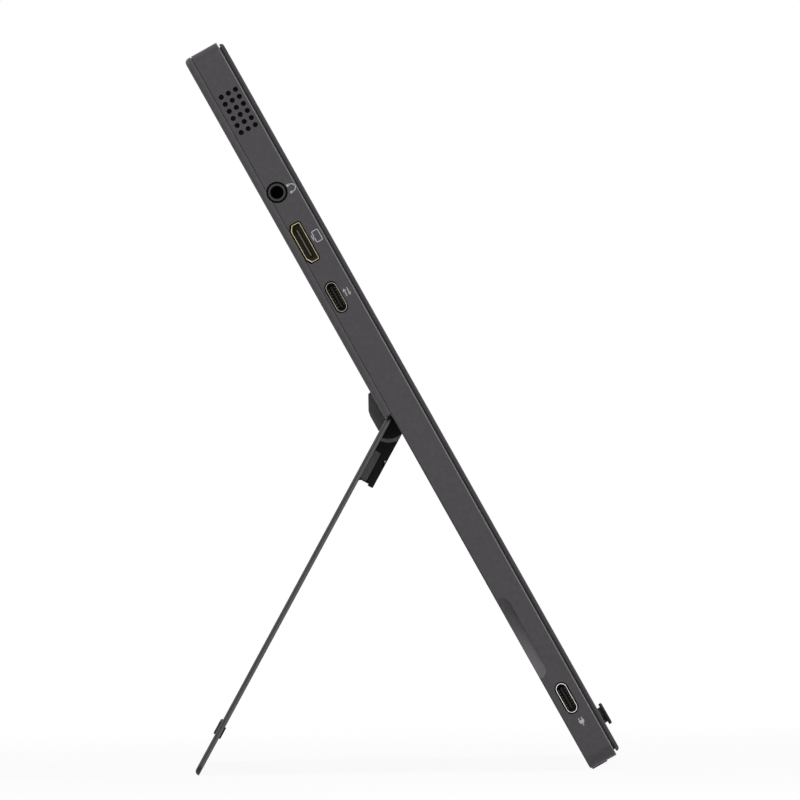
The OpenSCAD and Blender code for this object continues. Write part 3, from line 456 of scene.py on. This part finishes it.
# The scoops are painted lighter towards their lower ends: painted light.
finish("scoop_plastic", (0.280, 0.270, 0.282), 0.50, painted_light_to=(52.0, 30.0), **PLASTIC)
finish("cover_plastic", (0.290, 0.281, 0.292), 0.52, **PLASTIC)
finish("bezel_plastic", (0.205, 0.195, 0.206), 0.55, **PLASTIC)
# Painted a little lighter than the housing: painted light against the housing's shade on the caps.
finish("cap_plastic", (0.300, 0.297, 0.305), 0.50, **PLASTIC)
finish("plate_paint", (0.330, 0.322, 0.333), 0.46, grain_scale=2600.0, grain_depth=0.012,
       speckle_by=0.25, rough_by=0.1, dust_by=0.05, Specular_IOR_Level=0.3)
# A darker copy for the plate's outer rounding: painted shade.
finish("plate_rim_painted_shade", (0.190, 0.185, 0.192), 0.50, grain_scale=2600.0, grain_depth=0.012,
       speckle_by=0.2, rough_by=0.1, Specular_IOR_Level=0.2)
# A lighter copy for the bosses: painted light, against the shade between plate and housing.
finish("boss_painted_light", (0.540, 0.531, 0.542), 0.50, grain_scale=1500.0, grain_depth=0.02,
       speckle_by=0.25, rough_by=0.1, Specular_IOR_Level=0.3)
# A lighter copy for the plate's edge strips: a little wear and a painted highlight.
finish("plate_edge_wear_and_highlight", (0.400, 0.392, 0.402), 0.42, grain_scale=2600.0, grain_depth=0.01, speckle_by=0.2,
       Specular_IOR_Level=0.3)
finish("arm_plastic", (0.080, 0.078, 0.084), 0.45, grain_depth=0.01, speckle_by=0.06, dust_by=0.03,
       Specular_IOR_Level=0.15)
# A lighter copy for the arms' edge strips: a little wear and a painted highlight.
finish("arm_edge_wear_and_highlight", (0.10, 0.10, 0.11), 0.40, grain_depth=0.01, Specular_IOR_Level=0.2)
finish("black_rubber", (0.085, 0.085, 0.087), 0.85, grain_scale=1200.0, grain_depth=0.03, dust_by=0.2)
finish("grey_rubber", (0.285, 0.278, 0.287), 0.8, grain_scale=1200.0, grain_depth=0.03, dust_by=0.05,
       Specular_IOR_Level=0.3)
finish("socket_plastic", (0.170, 0.166, 0.172), 0.48, grain_depth=0.008, speckle_by=0.1,
       Specular_IOR_Level=0.3)
finish("black_plastic", (0.055, 0.055, 0.058), 0.5, grain_depth=0.008, Specular_IOR_Level=0.2)
# Painted shade: the bore is painted near black, as the deep shade inside a hole.
finish("bore_painted_shade", (0.030, 0.030, 0.032), 0.6, grain_depth=0.008, Specular_IOR_Level=0.05)
finish("brown_plastic", (0.150, 0.120, 0.085), 0.5, grain_depth=0.008, Specular_IOR_Level=0.3)
finish("tongue_end", (0.44, 0.39, 0.31), 0.5, Specular_IOR_Level=0.3)
finish("stick_plastic", (0.105, 0.100, 0.105), 0.5, grain_depth=0.012, speckle_by=0.2, dust_by=0.05,
       Specular_IOR_Level=0.25)
finish("screen_glass", (0.040, 0.041, 0.046), 0.26, grain_scale=5200.0, grain_depth=0.0015, wander_by=0.03,
       Specular_IOR_Level=0.12)
finish("light_guide", (0.75, 0.76, 0.78), 0.35, tape_from=174.0, Specular_IOR_Level=0.05)
finish("green_board", (0.05, 0.25, 0.12), 0.4, grain_scale=700.0, grain_depth=0.02, speckle_by=0.3)
finish("amber_film", (0.75, 0.60, 0.30), 0.3, grain_depth=0.004)
finish("print_ink", (0.74, 0.74, 0.75), 0.6, speckle_by=0.2)

# %% Metals
PLATING = dict(metallic=1.0, grain_scale=3000.0, grain_depth=0.004, rough_by=0.1)
finish("gold_plating", (0.56, 0.54, 0.42), 0.32, **PLATING)
finish("nickel_plating", (0.76, 0.75, 0.72), 0.26, **PLATING)
finish("dull_nickel", (0.52, 0.50, 0.46), 0.36, **PLATING)
# Darker copies for the socket rims' edge strips: painted shade where a rolled rim turns away.
finish("gold_painted_shade", (0.42, 0.37, 0.25), 0.40, metallic=1.0)
finish("nickel_painted_shade", (0.34, 0.33, 0.31), 0.40, metallic=1.0)
finish("contact_gold", (0.62, 0.50, 0.30), 0.35, metallic=0.9, grain_depth=0.003)
finish("contact_tin", (0.28, 0.27, 0.19), 0.45, metallic=0.9)
STEEL = dict(grain_scale=2200.0, grain_depth=0.006)
finish("bare_steel", (0.60, 0.60, 0.61), 0.34, metallic=1.0, rough_by=0.15, **STEEL)
finish("leaf_steel", (0.38, 0.38, 0.40), 0.40, metallic=0.85, rough_by=0.1, **STEEL)
finish("washer_steel", (0.62, 0.58, 0.48), 0.32, metallic=1.0, **STEEL)
finish("mesh_wire", (0.09, 0.09, 0.095), 0.45, metallic=0.3, grain_depth=0.004)
print(len(finishes), "finishes")

# %% [markdown]
# ## The inner pieces and the glass
#
# Boards, cables, speakers, brackets and pins hardly show, but they can be seen through
# gaps when the stand is swung, and they are pieces of their own when the model is taken
# apart. Their CAD shapes are right as they are, and so is the plain sheet of glass. So
# they stay, and only take a finish.

# %% Finishes for the CAD nodes that stay
stays = {
    "screen_glass": "screen_glass", "backlight_unit": "light_guide", "panel_board": "green_board",
    "panel_cable": "amber_film", "main_board": "green_board", "side_board": "green_board",
    "power_cable": "amber_film", "speaker_left": "black_plastic", "speaker_right": "black_plastic",
    "joystick_board": "green_board", "joystick_base": "black_plastic", "joystick_ring": "bare_steel",
    "joystick_carrier": "bare_steel", "board_screws": "bare_steel", "bracket_screws": "bare_steel",
    "hinge_bracket_left": "bare_steel", "hinge_bracket_right": "bare_steel",
    "hinge_pin_left": "bare_steel", "hinge_pin_right": "bare_steel",
    "friction_washers_left": "washer_steel", "friction_washers_right": "washer_steel",
}
for node, name in stays.items():
    for material_slot in frame["nodes"][node].material_slots:
        material_slot.material = finishes[name]
print(len(stays), "CAD nodes keep their shape")

# %% [markdown]
# ## Shells with broken edges
#
# A moulded or stamped edge is never quite sharp, and the thin bright line it catches is
# most of what one sees of a dark object. The CAD solids have their large roundings, but
# not this last tenth of a millimetre. A bevel can add it, if the mesh is clean: the
# packed triangles are joined at their corners and flat areas are made whole faces first.
# The new strips get a second finish: on most pieces a lighter copy of the base, a painted
# highlight with a little wear, and on the socket rims a darker copy, a painted shade. Where
# two edges meet at a very flat angle a bevel overshoots, so all points are held inside the
# solid's own box.


# %% A copy of a CAD node with its edges broken
BODY_OF = {n: b for b, nodes in frame["record"]["behaviour"]["bodies"].items() for n in nodes}
MERGE, FLAT = 0.002 * MM, math.radians(0.4)     # how near two corners, and how flat two faces, are one


def softened(node, base, edge=None, width=0.1, steps=2, angle=30, special=()):
    """A merged copy of the node whose edges of more than angle degrees are beveled by width mm, kept inside the
    node's own box. Special holds finishes, each with a function that says, from the faces' normals and
    middles, which faces get it."""
    source = frame["nodes"][node].data
    co = np.empty(len(source.vertices) * 3, np.float32)
    source.vertices.foreach_get("co", co)
    co = co.reshape(-1, 3)
    corners = np.empty(len(source.polygons) * 3, np.int32)
    source.loops.foreach_get("vertex_index", corners)
    mesh = bpy.data.meshes.new(node + "_shell")
    mesh.from_pydata(co.tolist(), [], corners.reshape(-1, 3).tolist())
    for name in (base, edge or base, *(look for look, chooser in special)):
        mesh.materials.append(finishes[name])
    work = bmesh.new()
    work.from_mesh(mesh)
    bmesh.ops.remove_doubles(work, verts=work.verts, dist=MERGE)
    bmesh.ops.dissolve_limit(work, angle_limit=FLAT, verts=work.verts, edges=work.edges)
    if special:
        work.normal_update()
        normals = np.array([f.normal for f in work.faces])
        middles = np.array([f.calc_center_median() for f in work.faces])
        look_of = np.select([chooser(normals, middles) for look, chooser in special],
                            list(range(2, 2 + len(special))), 0)
        for face, number in zip(work.faces, look_of):
            face.material_index = int(number)
    sharp = [e for e in work.edges if e.is_manifold and e.calc_face_angle() > math.radians(angle)]
    bmesh.ops.bevel(work, geom=sharp, offset=width * MM, offset_type="OFFSET", segments=steps, profile=0.5,
                    affect="EDGES", clamp_overlap=False, miter_outer="ARC", material=1)
    work.to_mesh(mesh)
    work.free()
    beveled = np.empty(len(mesh.vertices) * 3, np.float32)
    mesh.vertices.foreach_get("co", beveled)
    kept = np.clip(beveled.reshape(-1, 3), co.min(0), co.max(0))
    mesh.vertices.foreach_set("co", kept.ravel())
    mesh.polygons.foreach_set("use_smooth", np.ones(len(mesh.polygons), bool))
    mesh.update()
    piece = bpy.data.objects.new(node + "_shell", mesh)
    bpy.context.scene.collection.objects.link(piece)
    weigh = piece.modifiers.new("flat_faces_stay_flat", "WEIGHTED_NORMAL")
    weigh.keep_sharp = True
    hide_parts(node)
    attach(piece, BODY_OF[node])
    return piece


# %% [markdown]
# ## Which faces look different
#
# Some pieces show two finishes: the plate's outer rounding is painted darker, as painted
# shade, the blocks on it are painted lighter, as painted light against the shade they sit in,
# and the scoops are painted lighter towards their lower ends, as painted light. The faces
# could be chosen by hand, but their numbers change with the solid. A rule on where a face
# lies and which way it looks finds them again each time.

# %% Choosing faces by a rule
PLATE_INNER = 10.2                                  # y of the closed plate's inner face
BOSS_X, BOSS_HALF = 127.8, 6.9                      # a boss's middle, and its half length with some room
FRONT_EDGE_Y = 1.9                                  # how far back the housing's front rounding reaches
SCOOP_FRONT, SCOOP_DEPTH = 6.55, 3.7                # where the scoops start behind the bezel, how deep they go
SCOOP_LOW, SCOOP_HIGH = 28.0, 53.3
JACK_Y, JACK_Z, JACK_R = 7.15, 180.0, 1.8
plate_outward = (swung([0, 1, 0]) - swung([0, 0, 0])) / MM
forward = (leaned([0, -1, 0]) - leaned([0, 0, 0])) / MM


# These faces get painted shade.
def outer_rounding(normals, middles):
    """The rounding round the plate's outer face: it looks outward, but not straight outward."""
    outward = normals @ plate_outward
    return (outward > 0.05) & (outward < 0.97)


# These faces get painted light.
def on_boss(normals, middles):
    """The two blocks that the arms are screwed to: 121 to 134.6 mm out, in front of the plate."""
    ahead = (middles - swung([0, PLATE_INNER, 0])) @ plate_outward / MM
    return (abs(abs(middles[:, 0]) / MM - BOSS_X) < BOSS_HALF) & (ahead < -0.05)


# These faces get a painted highlight.
def front_rounding(normals, middles):
    """The rounding between the housing's side and its front edge."""
    ahead = normals @ forward
    return (ahead > 0.1) & (ahead < 0.97) & (upright(middles)[:, 1] < FRONT_EDGE_Y)


def in_scoop(normals, middles):
    """The hollow for a finger in each side, below the plate's free edge."""
    x, y, z = upright(middles).T
    inside = (abs(x) < HALF_W - 0.01) & (abs(x) > HALF_W - SCOOP_DEPTH)
    return inside & (y > SCOOP_FRONT) & (z > SCOOP_LOW) & (z < SCOOP_HIGH)


def tongue_end(normals, middles):
    """The front end of a socket's tongue."""
    return (normals[:, 0] < -0.9) & (middles[:, 0] < -0.175)


def in_bore(normals, middles):
    """The headphone socket's bore, which is painted near black as shade."""
    x, y, z = upright(middles).T
    return (np.hypot(y - JACK_Y, z - JACK_Z) < JACK_R + 0.1) & (x > 0.3 - HALF_W)


print("the plate looks outward along", plate_outward.round(3))

# %% Make the shells
shells = [
    # The housing's front rounding and the rear cover's edge strips get a painted highlight.
    softened("main_housing", "housing_plastic", "housing_edge_wear_and_highlight", 0.1, angle=35,
             special=(("scoop_plastic", in_scoop), ("painted_highlight_edge", front_rounding))),
    softened("rear_cover", "cover_plastic", "painted_highlight_edge", 0.1, angle=35),
    softened("front_bezel", "bezel_plastic", None, 0.08),
    # On the plate the outer rounding gets painted shade and the bosses painted light.
    softened("cover_plate", "plate_paint", "plate_edge_wear_and_highlight", 0.08,
             special=(("boss_painted_light", on_boss), ("plate_rim_painted_shade", outer_rounding))),
    # The caps' edge strips get a little wear and a painted highlight.
    softened("hinge_cap_left", "cap_plastic", "housing_edge_wear_and_highlight", 0.2),
    softened("hinge_cap_right", "cap_plastic", "housing_edge_wear_and_highlight", 0.2),
    softened("hinge_arm_left", "arm_plastic", "arm_edge_wear_and_highlight", 0.08),
    softened("hinge_arm_right", "arm_plastic", "arm_edge_wear_and_highlight", 0.08),
    softened("hinge_leaf_left", "leaf_steel", None, 0.06),
    softened("hinge_leaf_right", "leaf_steel", None, 0.06),
    softened("headphone_socket", "socket_plastic", None, 0.12, special=(("bore_painted_shade", in_bore),)),
    # The rims' edge strips get painted shade.
    softened("video_socket_shell", "gold_plating", "gold_painted_shade", 0.09),
    softened("upper_c_shell", "dull_nickel", "nickel_painted_shade", 0.1),
    softened("lower_c_shell", "nickel_plating", "nickel_painted_shade", 0.09),
    softened("video_socket_tongue", "brown_plastic", None, 0.08, special=(("tongue_end", tongue_end),)),
    softened("upper_c_tongue", "black_plastic", None, 0.1),
    softened("lower_c_tongue", "black_plastic", None, 0.1),
    softened("bottom_feet", "black_rubber", None, 0.12),
    softened("plate_foot", "grey_rubber", None, 0.12),
    softened("plate_bumper", "black_rubber", None, 0.1),
]
print("shells:", len(shells))

# %% [markdown]
# ## Small pieces from grids of points
#
# What follows is too small or too fine for the solid model: ink, contact strips, cross
# recesses, ribs, woven wire. Nearly all of it is a skin over rings of points. The rings
# are worked out with a formula for all points at once, and one function turns them into
# a closed mesh. Every skin is closed, because a print or a section would show a hole.


# %% Skins over rings of points
def tube(rings, loop=False):
    """Quads between neighbouring points of a rows by columns grid. The columns close, and the rows close in a
    loop or end in flat lids. Returns the points and a list of faces."""
    rings = np.asarray(rings, float)
    rows, cols = rings.shape[:2]
    i = np.arange(rows if loop else rows - 1)[:, None]
    j = np.arange(cols)[None, :]
    i1, j1 = (i + 1) % rows, (j + 1) % cols
    faces = np.stack([i * cols + j, i * cols + j1, i1 * cols + j1, i1 * cols + j], -1).reshape(-1, 4).tolist()
    if not loop:
        faces += [list(range(cols)), list(range((rows - 1) * cols, rows * cols))]
    return rings.reshape(-1, 3), faces


print("a tube of 3 rings of 4 points has", len(tube(np.zeros((3, 4, 3)))[1]), "faces")


# %% Mirrored skins, and an object from skins
def mirrored(part):
    """The same skin on the other side of the monitor."""
    return part[0] * (-1, 1, 1), part[1]


def piece(name, parts, look, slot, body, replaces=(), place=leaned, smooth=35):
    """One object from closed skins that are drawn upright in millimetres; edges over the angle stay sharp."""
    starts = np.cumsum([0] + [len(points) for points, faces in parts])
    points = np.concatenate([points for points, faces in parts])
    faces = [[k + int(start) for k in face] for start, (_, part) in zip(starts, parts) for face in part]
    mesh = bpy.data.meshes.new(name)
    mesh.from_pydata(place(points).tolist(), [], faces)
    work = bmesh.new()
    work.from_mesh(mesh)
    bmesh.ops.remove_doubles(work, verts=work.verts, dist=0.0005 * MM)
    bmesh.ops.recalc_face_normals(work, faces=work.faces)
    work.to_mesh(mesh)
    work.free()
    mesh.polygons.foreach_set("use_smooth", np.ones(len(mesh.polygons), bool))
    mesh.set_sharp_from_angle(angle=math.radians(smooth))
    mesh.materials.append(finishes[look])
    made = bpy.data.objects.new(name, mesh)
    bpy.context.scene.collection.objects.link(made)
    for node in replaces:
        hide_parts(node)
    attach(made, body)
    print(name, len(mesh.vertices), "points")


# %% [markdown]
# ## Contacts in the sockets
#
# A socket looks empty without its contacts: gold strips that lie on both faces of the
# tongue and slope down at their front ends, so that a plug can slide over them. The
# oval sockets have twelve on each face, half a millimetre apart. The mini video socket
# has ten on one face and nine on the other, 0.8 mm apart, set off by half a step.

# %% Contact strips
TONGUE_FRONT, SOCKET_FLOOR = -175.4, -170.8         # x of a tongue's end and of the floor behind it
VIDEO, UPPER_C, LOWER_C = (7.45, 164.3), (7.0, 147.0), (5.9, 20.3)     # y and z of each socket's middle
VIDEO_HALF_T, OVAL_HALF_T = 0.25, 0.35              # half the thickness of their tongues


def strip(x_steps, y_low, y_high, z_low, z_high):
    """A bar along x through one rectangle for each x; the other values are numbers or one for each x."""
    x, a, b, c, d = np.broadcast_arrays(x_steps, y_low, y_high, z_low, z_high)
    return tube(np.stack([np.stack([x, u, v], -1) for u, v in ((a, c), (b, c), (b, d), (a, d))], 1))


def contacts(y, z, half_t, count, pitch, width, side):
    """Contact strips on one face of a tongue whose middle is at y, z; side is -1 for the front face."""
    x_steps = TONGUE_FRONT + np.array([0.12, 0.35, 0.6, 3.9])
    proud = np.array([0.0, 0.02, 0.03, 0.03])
    root = y + side * (half_t - 0.03)
    face = y + side * (half_t + proud)
    centres = z + (np.arange(count) - (count - 1) / 2) * pitch
    return [strip(x_steps, np.minimum(root, face), np.maximum(root, face), c - width / 2, c + width / 2)
            for c in centres]


def tails(y, z, inner, outer, count, pitch, width):
    """The contacts' other ends, bent outward over the socket's floor on both sides of the tongue's foot."""
    centres = z + (np.arange(count) - (count - 1) / 2) * pitch
    x_steps = SOCKET_FLOOR + np.array([-0.03, 0.02])
    return [strip(x_steps, *sorted((y + side * inner, y + side * outer)), c - width / 2, c + width / 2)
            for side in (-1, 1) for c in centres]


piece("video_contacts",
      contacts(*VIDEO, VIDEO_HALF_T, 10, 0.8, 0.34, -1) + contacts(*VIDEO, VIDEO_HALF_T, 9, 0.8, 0.34, 1),
      "contact_gold", "gold_shell", "display")
for name, middle in (("upper_c", UPPER_C), ("lower_c", LOWER_C)):
    strips = [c for side in (-1, 1) for c in contacts(*middle, OVAL_HALF_T, 12, 0.5, 0.26, side)]
    piece(name + "_contacts", strips, "contact_gold", "gold_shell", "display")
    piece(name + "_tails", tails(*middle, 0.7, 1.1, 7, 0.85, 0.4), "contact_tin", "gold_shell", "display")

# %% [markdown]
# ## Signs beside the sockets
#
# Small signs printed in light grey say what each socket is for. They are drawn as thin
# bands of ink along a path, a hundredth of a millimetre thick. They are general signs:
# headphones, a screen, two arrows for data both ways, and a plug for power.

# %% Ink bands on the left side
INK_T = 0.01


def ink(path, width, loop=False):
    """A flat band on the side wall: each point [y, z] of the path moved half the width to both sides, square to
    the path's own direction there. The width is a number or one for each point."""
    path = np.asarray(path, float)
    ahead = np.roll(path, -1, 0) - np.roll(path, 1, 0) if loop else np.gradient(path, axis=0)
    ahead /= np.linalg.norm(ahead, axis=1, keepdims=True)
    half = np.broadcast_to(width, len(path))[:, None] / 2
    across = np.stack([-ahead[:, 1], ahead[:, 0]], -1) * half
    rings = np.empty((len(path), 4, 3))
    rings[:, :2, 0], rings[:, 2:, 0] = -HALF_W - INK_T, -HALF_W + INK_T
    rings[:, [0, 3], 1:] = (path - across)[:, None]
    rings[:, [1, 2], 1:] = (path + across)[:, None]
    return tube(rings, loop)


def bow(y, z, ry, rz, start, end, count=24):
    """Points on part of an ellipse round y, z, from one angle to another in degrees; 0 points to the front."""
    t = np.radians(np.linspace(start, end, count))
    return np.stack([y - ry * np.cos(t), z + rz * np.sin(t)], -1)


def rounded_box(y0, y1, z0, z1, r):
    """Points round a box with rounded corners, as a loop."""
    t = np.radians(np.linspace(0, 90, 6))
    quarters = ((y1 - r, z1 - r, 0), (y0 + r, z1 - r, 1), (y0 + r, z0 + r, 2), (y1 - r, z0 + r, 3))
    return np.concatenate([
        np.stack([y + r * np.cos(t + q * np.pi / 2), z + r * np.sin(t + q * np.pi / 2)], -1)
        for y, z, q in quarters])


def headphones(y, z):
    cups = [ink([[y + 0.2, z + s * 1.05], [y + 1.0, z + s * 1.05]], 0.62) for s in (-1, 1)]
    return [ink(bow(y + 0.25, z, 1.35, 1.1, -95, 95), 0.26)] + cups


def little_screen(y, z):
    return [ink(rounded_box(y - 1.15, y + 0.65, z - 1.6, z + 1.6, 0.3), 0.24, True),
            ink([[y + 0.6, z], [y + 1.1, z]], 0.4), ink([[y + 1.15, z - 0.8], [y + 1.15, z + 0.8]], 0.24)]


def two_arrows(y, z):
    marks = []
    for s in (-1, 1):
        row = y + 0.5 * s
        marks.append(ink([[row, z - 1.1 * s], [row, z + 0.6 * s]], 0.26))
        marks.append(ink([[row, z + 0.4 * s], [row, z + 1.2 * s]], [1.0, 0.04]))
    return marks


def plug(y, z):
    """A plug seen from its side: two prongs, a rounded body and a short cable."""
    body = ink([[y, z + 0.45], [y, z + 0.1], [y, z - 0.35], [y, z - 0.6]], [1.5, 1.5, 1.3, 0.7])
    prongs = [ink([[y + s, z + 0.4], [y + s, z + 1.15]], 0.26) for s in (-0.42, 0.42)]
    return [body, ink([[y, z - 0.5], [y, z - 1.2]], 0.26)] + prongs


signs = headphones(3.0, 179.2) + little_screen(3.6, 164.3) + two_arrows(3.76, 146.9) + plug(5.4, 12.7)
piece("socket_signs", signs, "print_ink", "housing", "display")

# %% [markdown]
# ## Joystick cap
#
# The cap is turned: a dished top for the fingertip, a rounded rim cut with fine ribs,
# and the stem that runs down into the base. It is one profile swept round its axis, and
# the ribs are a ripple on the rim's radius that never leaves the cap's full size. The
# stem is 0.07 mm slimmer than the solid's, so that it stays clear of the bezel's hole
# when the stick leans into a corner.

# %% Joystick cap
STICK_X, STICK_Z = -150.0, 11.1


def turned(profile, x, z, spokes, ripple, ribs):
    """A profile of [radius, y, share of the ripple] swept round the axis along y. The radius is the profile's
    less ripple times its share times (1 - cos(ribs times the angle)) / 2."""
    profile = np.asarray(profile, float)
    angle = np.arange(spokes) * 2 * np.pi / spokes
    r = profile[:, :1] - ripple * profile[:, 2:] * (1 - np.cos(ribs * angle)) / 2
    y = np.broadcast_to(profile[:, 1:2], r.shape)
    return tube(np.stack([x + r * np.cos(angle), y, z + r * np.sin(angle)], -1))


dish = [[2.35 * q, -1.76 + 0.22 * (1 - q ** 2), 0] for q in np.linspace(0.02, 1, 14)]
rim = [[2.6, -1.76, 0], [2.85, -1.75, 0.1], [3.0, -1.70, 0.3], [3.1, -1.62, 0.7], [3.16, -1.5, 1],
       [3.17, -1.35, 1], [3.17, -1.05, 1], [3.14, -0.93, 0.8], [3.08, -0.85, 0.4], [2.95, -0.82, 0.1]]
stem = [[2.5, -0.82, 0], [2.28, -0.78, 0], [2.28, 3.58, 0], [2.26, 3.6, 0]]
rod = [[0.9, 3.6, 0], [0.85, 3.65, 0], [0.85, 6.2, 0], [0.7, 6.3, 0], [0.02, 6.3, 0]]
cap = turned(dish + rim + stem + rod, STICK_X, STICK_Z, 160, ripple=0.12, ribs=40)
piece("joystick_cap_turned", [cap], "stick_plastic", "stick", "stick_cap", replaces=["joystick_cap"], smooth=40)

# %% [markdown]
# ## Screws in the hinge arms
#
# Three small screws hold each arm to the plate, two in its base and a smaller one in a
# notch at its side, whose head gives a bright glint. The heads are low domes with a cross
# recess: a grid of rings and spokes whose height is a dome minus two crossed slots with
# sloping walls.

# %% Cross-recessed screws
PLATE_TOP, HINGE_X = 111.2, 109.0               # upper edge of the closed plate, a hinge's middle
BASE_FRONT, NOTCH_FLOOR = 8.0, 6.5              # y of the two seats
SCREW_TIP = PLATE_INNER + 1.0
SLOT_W, SLOT_REACH, SLOT_DEEP, SPOKES = 0.11, 0.6, 0.42, 96


def cross_screw(x, z, seat, wall, head_r, shank_r, turn):
    """Height over the head's side wall: 0.2 (1 - 0.6 (r/R)^2) minus 0.42 times the deeper of two crossed slots."""
    r = (np.linspace(0.004, 1, 26) * (head_r - 0.04))[:, None]
    angle = (np.arange(SPOKES) * 2 * np.pi / SPOKES)[None, :]
    u, v = r * np.cos(angle - turn), r * np.sin(angle - turn)

    def slot_along(a, b):
        width, reach = SLOT_W * head_r, SLOT_REACH * head_r
        return np.clip((width - np.abs(a)) / 0.06, 0, 1) * np.clip((reach - np.abs(b)) / 0.3, 0, 1)

    rise = 0.2 * (1 - 0.6 * (r / head_r) ** 2) - SLOT_DEEP * np.maximum(slot_along(u, v), slot_along(v, u))
    top = np.stack([x + r * np.cos(angle), seat - wall - rise, z + r * np.sin(angle)], -1)
    q, y = np.array([[head_r, seat - wall - 0.04], [head_r, seat], [shank_r, seat], [shank_r, SCREW_TIP - 0.15],
                     [shank_r - 0.15, SCREW_TIP]]).T[:, :, None]
    below = np.stack([x + q * np.cos(angle), y + 0 * angle, z + q * np.sin(angle)], -1)
    return tube(np.concatenate([top, below]))


screws = []
arm_screw_spots = ((-9.5, 12.0, BASE_FRONT, 0.0, 1.6, 0.9), (8.0, 12.0, BASE_FRONT, 0.0, 1.6, 0.9),
                   (22.5, 11.1, NOTCH_FLOOR, 0.4, 0.95, 0.6))
for k, (x, down, *sizes) in enumerate(arm_screw_spots):
    for side in (-1, 1):
        turn = 0.5 + 0.9 * k + 0.4 * side       # no two crosses stop at the same angle
        screws.append(cross_screw(side * (HINGE_X + x), PLATE_TOP - down, *sizes, turn))
piece("arm_screws_with_recess", screws, "bare_steel", "bare_steel", "stand", replaces=["arm_screws"],
      place=swung, smooth=25)

# %% [markdown]
# ## Dust mesh behind the speaker holes
#
# Behind each grille lies a black mesh. Close to, it is a plain weave: every wire goes
# over one neighbour and under the next. One wire is a thin tube whose middle line is a
# cosine, and its neighbours start half a wave later.

# %% Woven mesh
WEAVE_PITCH, WIRE_R, WAVE = 0.36, 0.055, 0.06
MESH_X = -176.075


def wire(start, end, across, number, along_z):
    """A wire from start to end whose middle line is x = wave (-1)^number cos(pi s / pitch), s counted in the
    direction it runs."""
    steps = int(round((end - start) / WEAVE_PITCH)) * 3 + 1
    s = np.linspace(start, end, steps)[:, None]
    phase = np.pi * (s - start) / WEAVE_PITCH + np.pi * (number + along_z)
    angle = (np.arange(6) * np.pi / 3)[None, :]
    x = MESH_X + WAVE * np.cos(phase) + WIRE_R * np.cos(angle)
    flat = across + WIRE_R * np.sin(angle) + 0 * s
    run = s + 0 * angle
    return tube(np.stack([x, flat, run] if along_z else [x, run, flat], -1))


low_y, high_y, low_z, high_z = 2.26, 8.28, 197.56, 211.74      # the mesh's four edges
FIRST_WIRE = 0.14                                               # from an edge to the first wire
along = np.arange(low_y + FIRST_WIRE, high_y, WEAVE_PITCH)
upward = np.arange(low_z + FIRST_WIRE, high_z, WEAVE_PITCH)
weave = [wire(low_z, high_z, y, k, True) for k, y in enumerate(along)]
weave += [wire(low_y, high_y, z, k, False) for k, z in enumerate(upward)]
piece("woven_mesh_left", weave, "mesh_wire", "mesh", "display", replaces=["grille_mesh_left"])
piece("woven_mesh_right", [mirrored(w) for w in weave], "mesh_wire", "mesh", "display",
      replaces=["grille_mesh_right"])
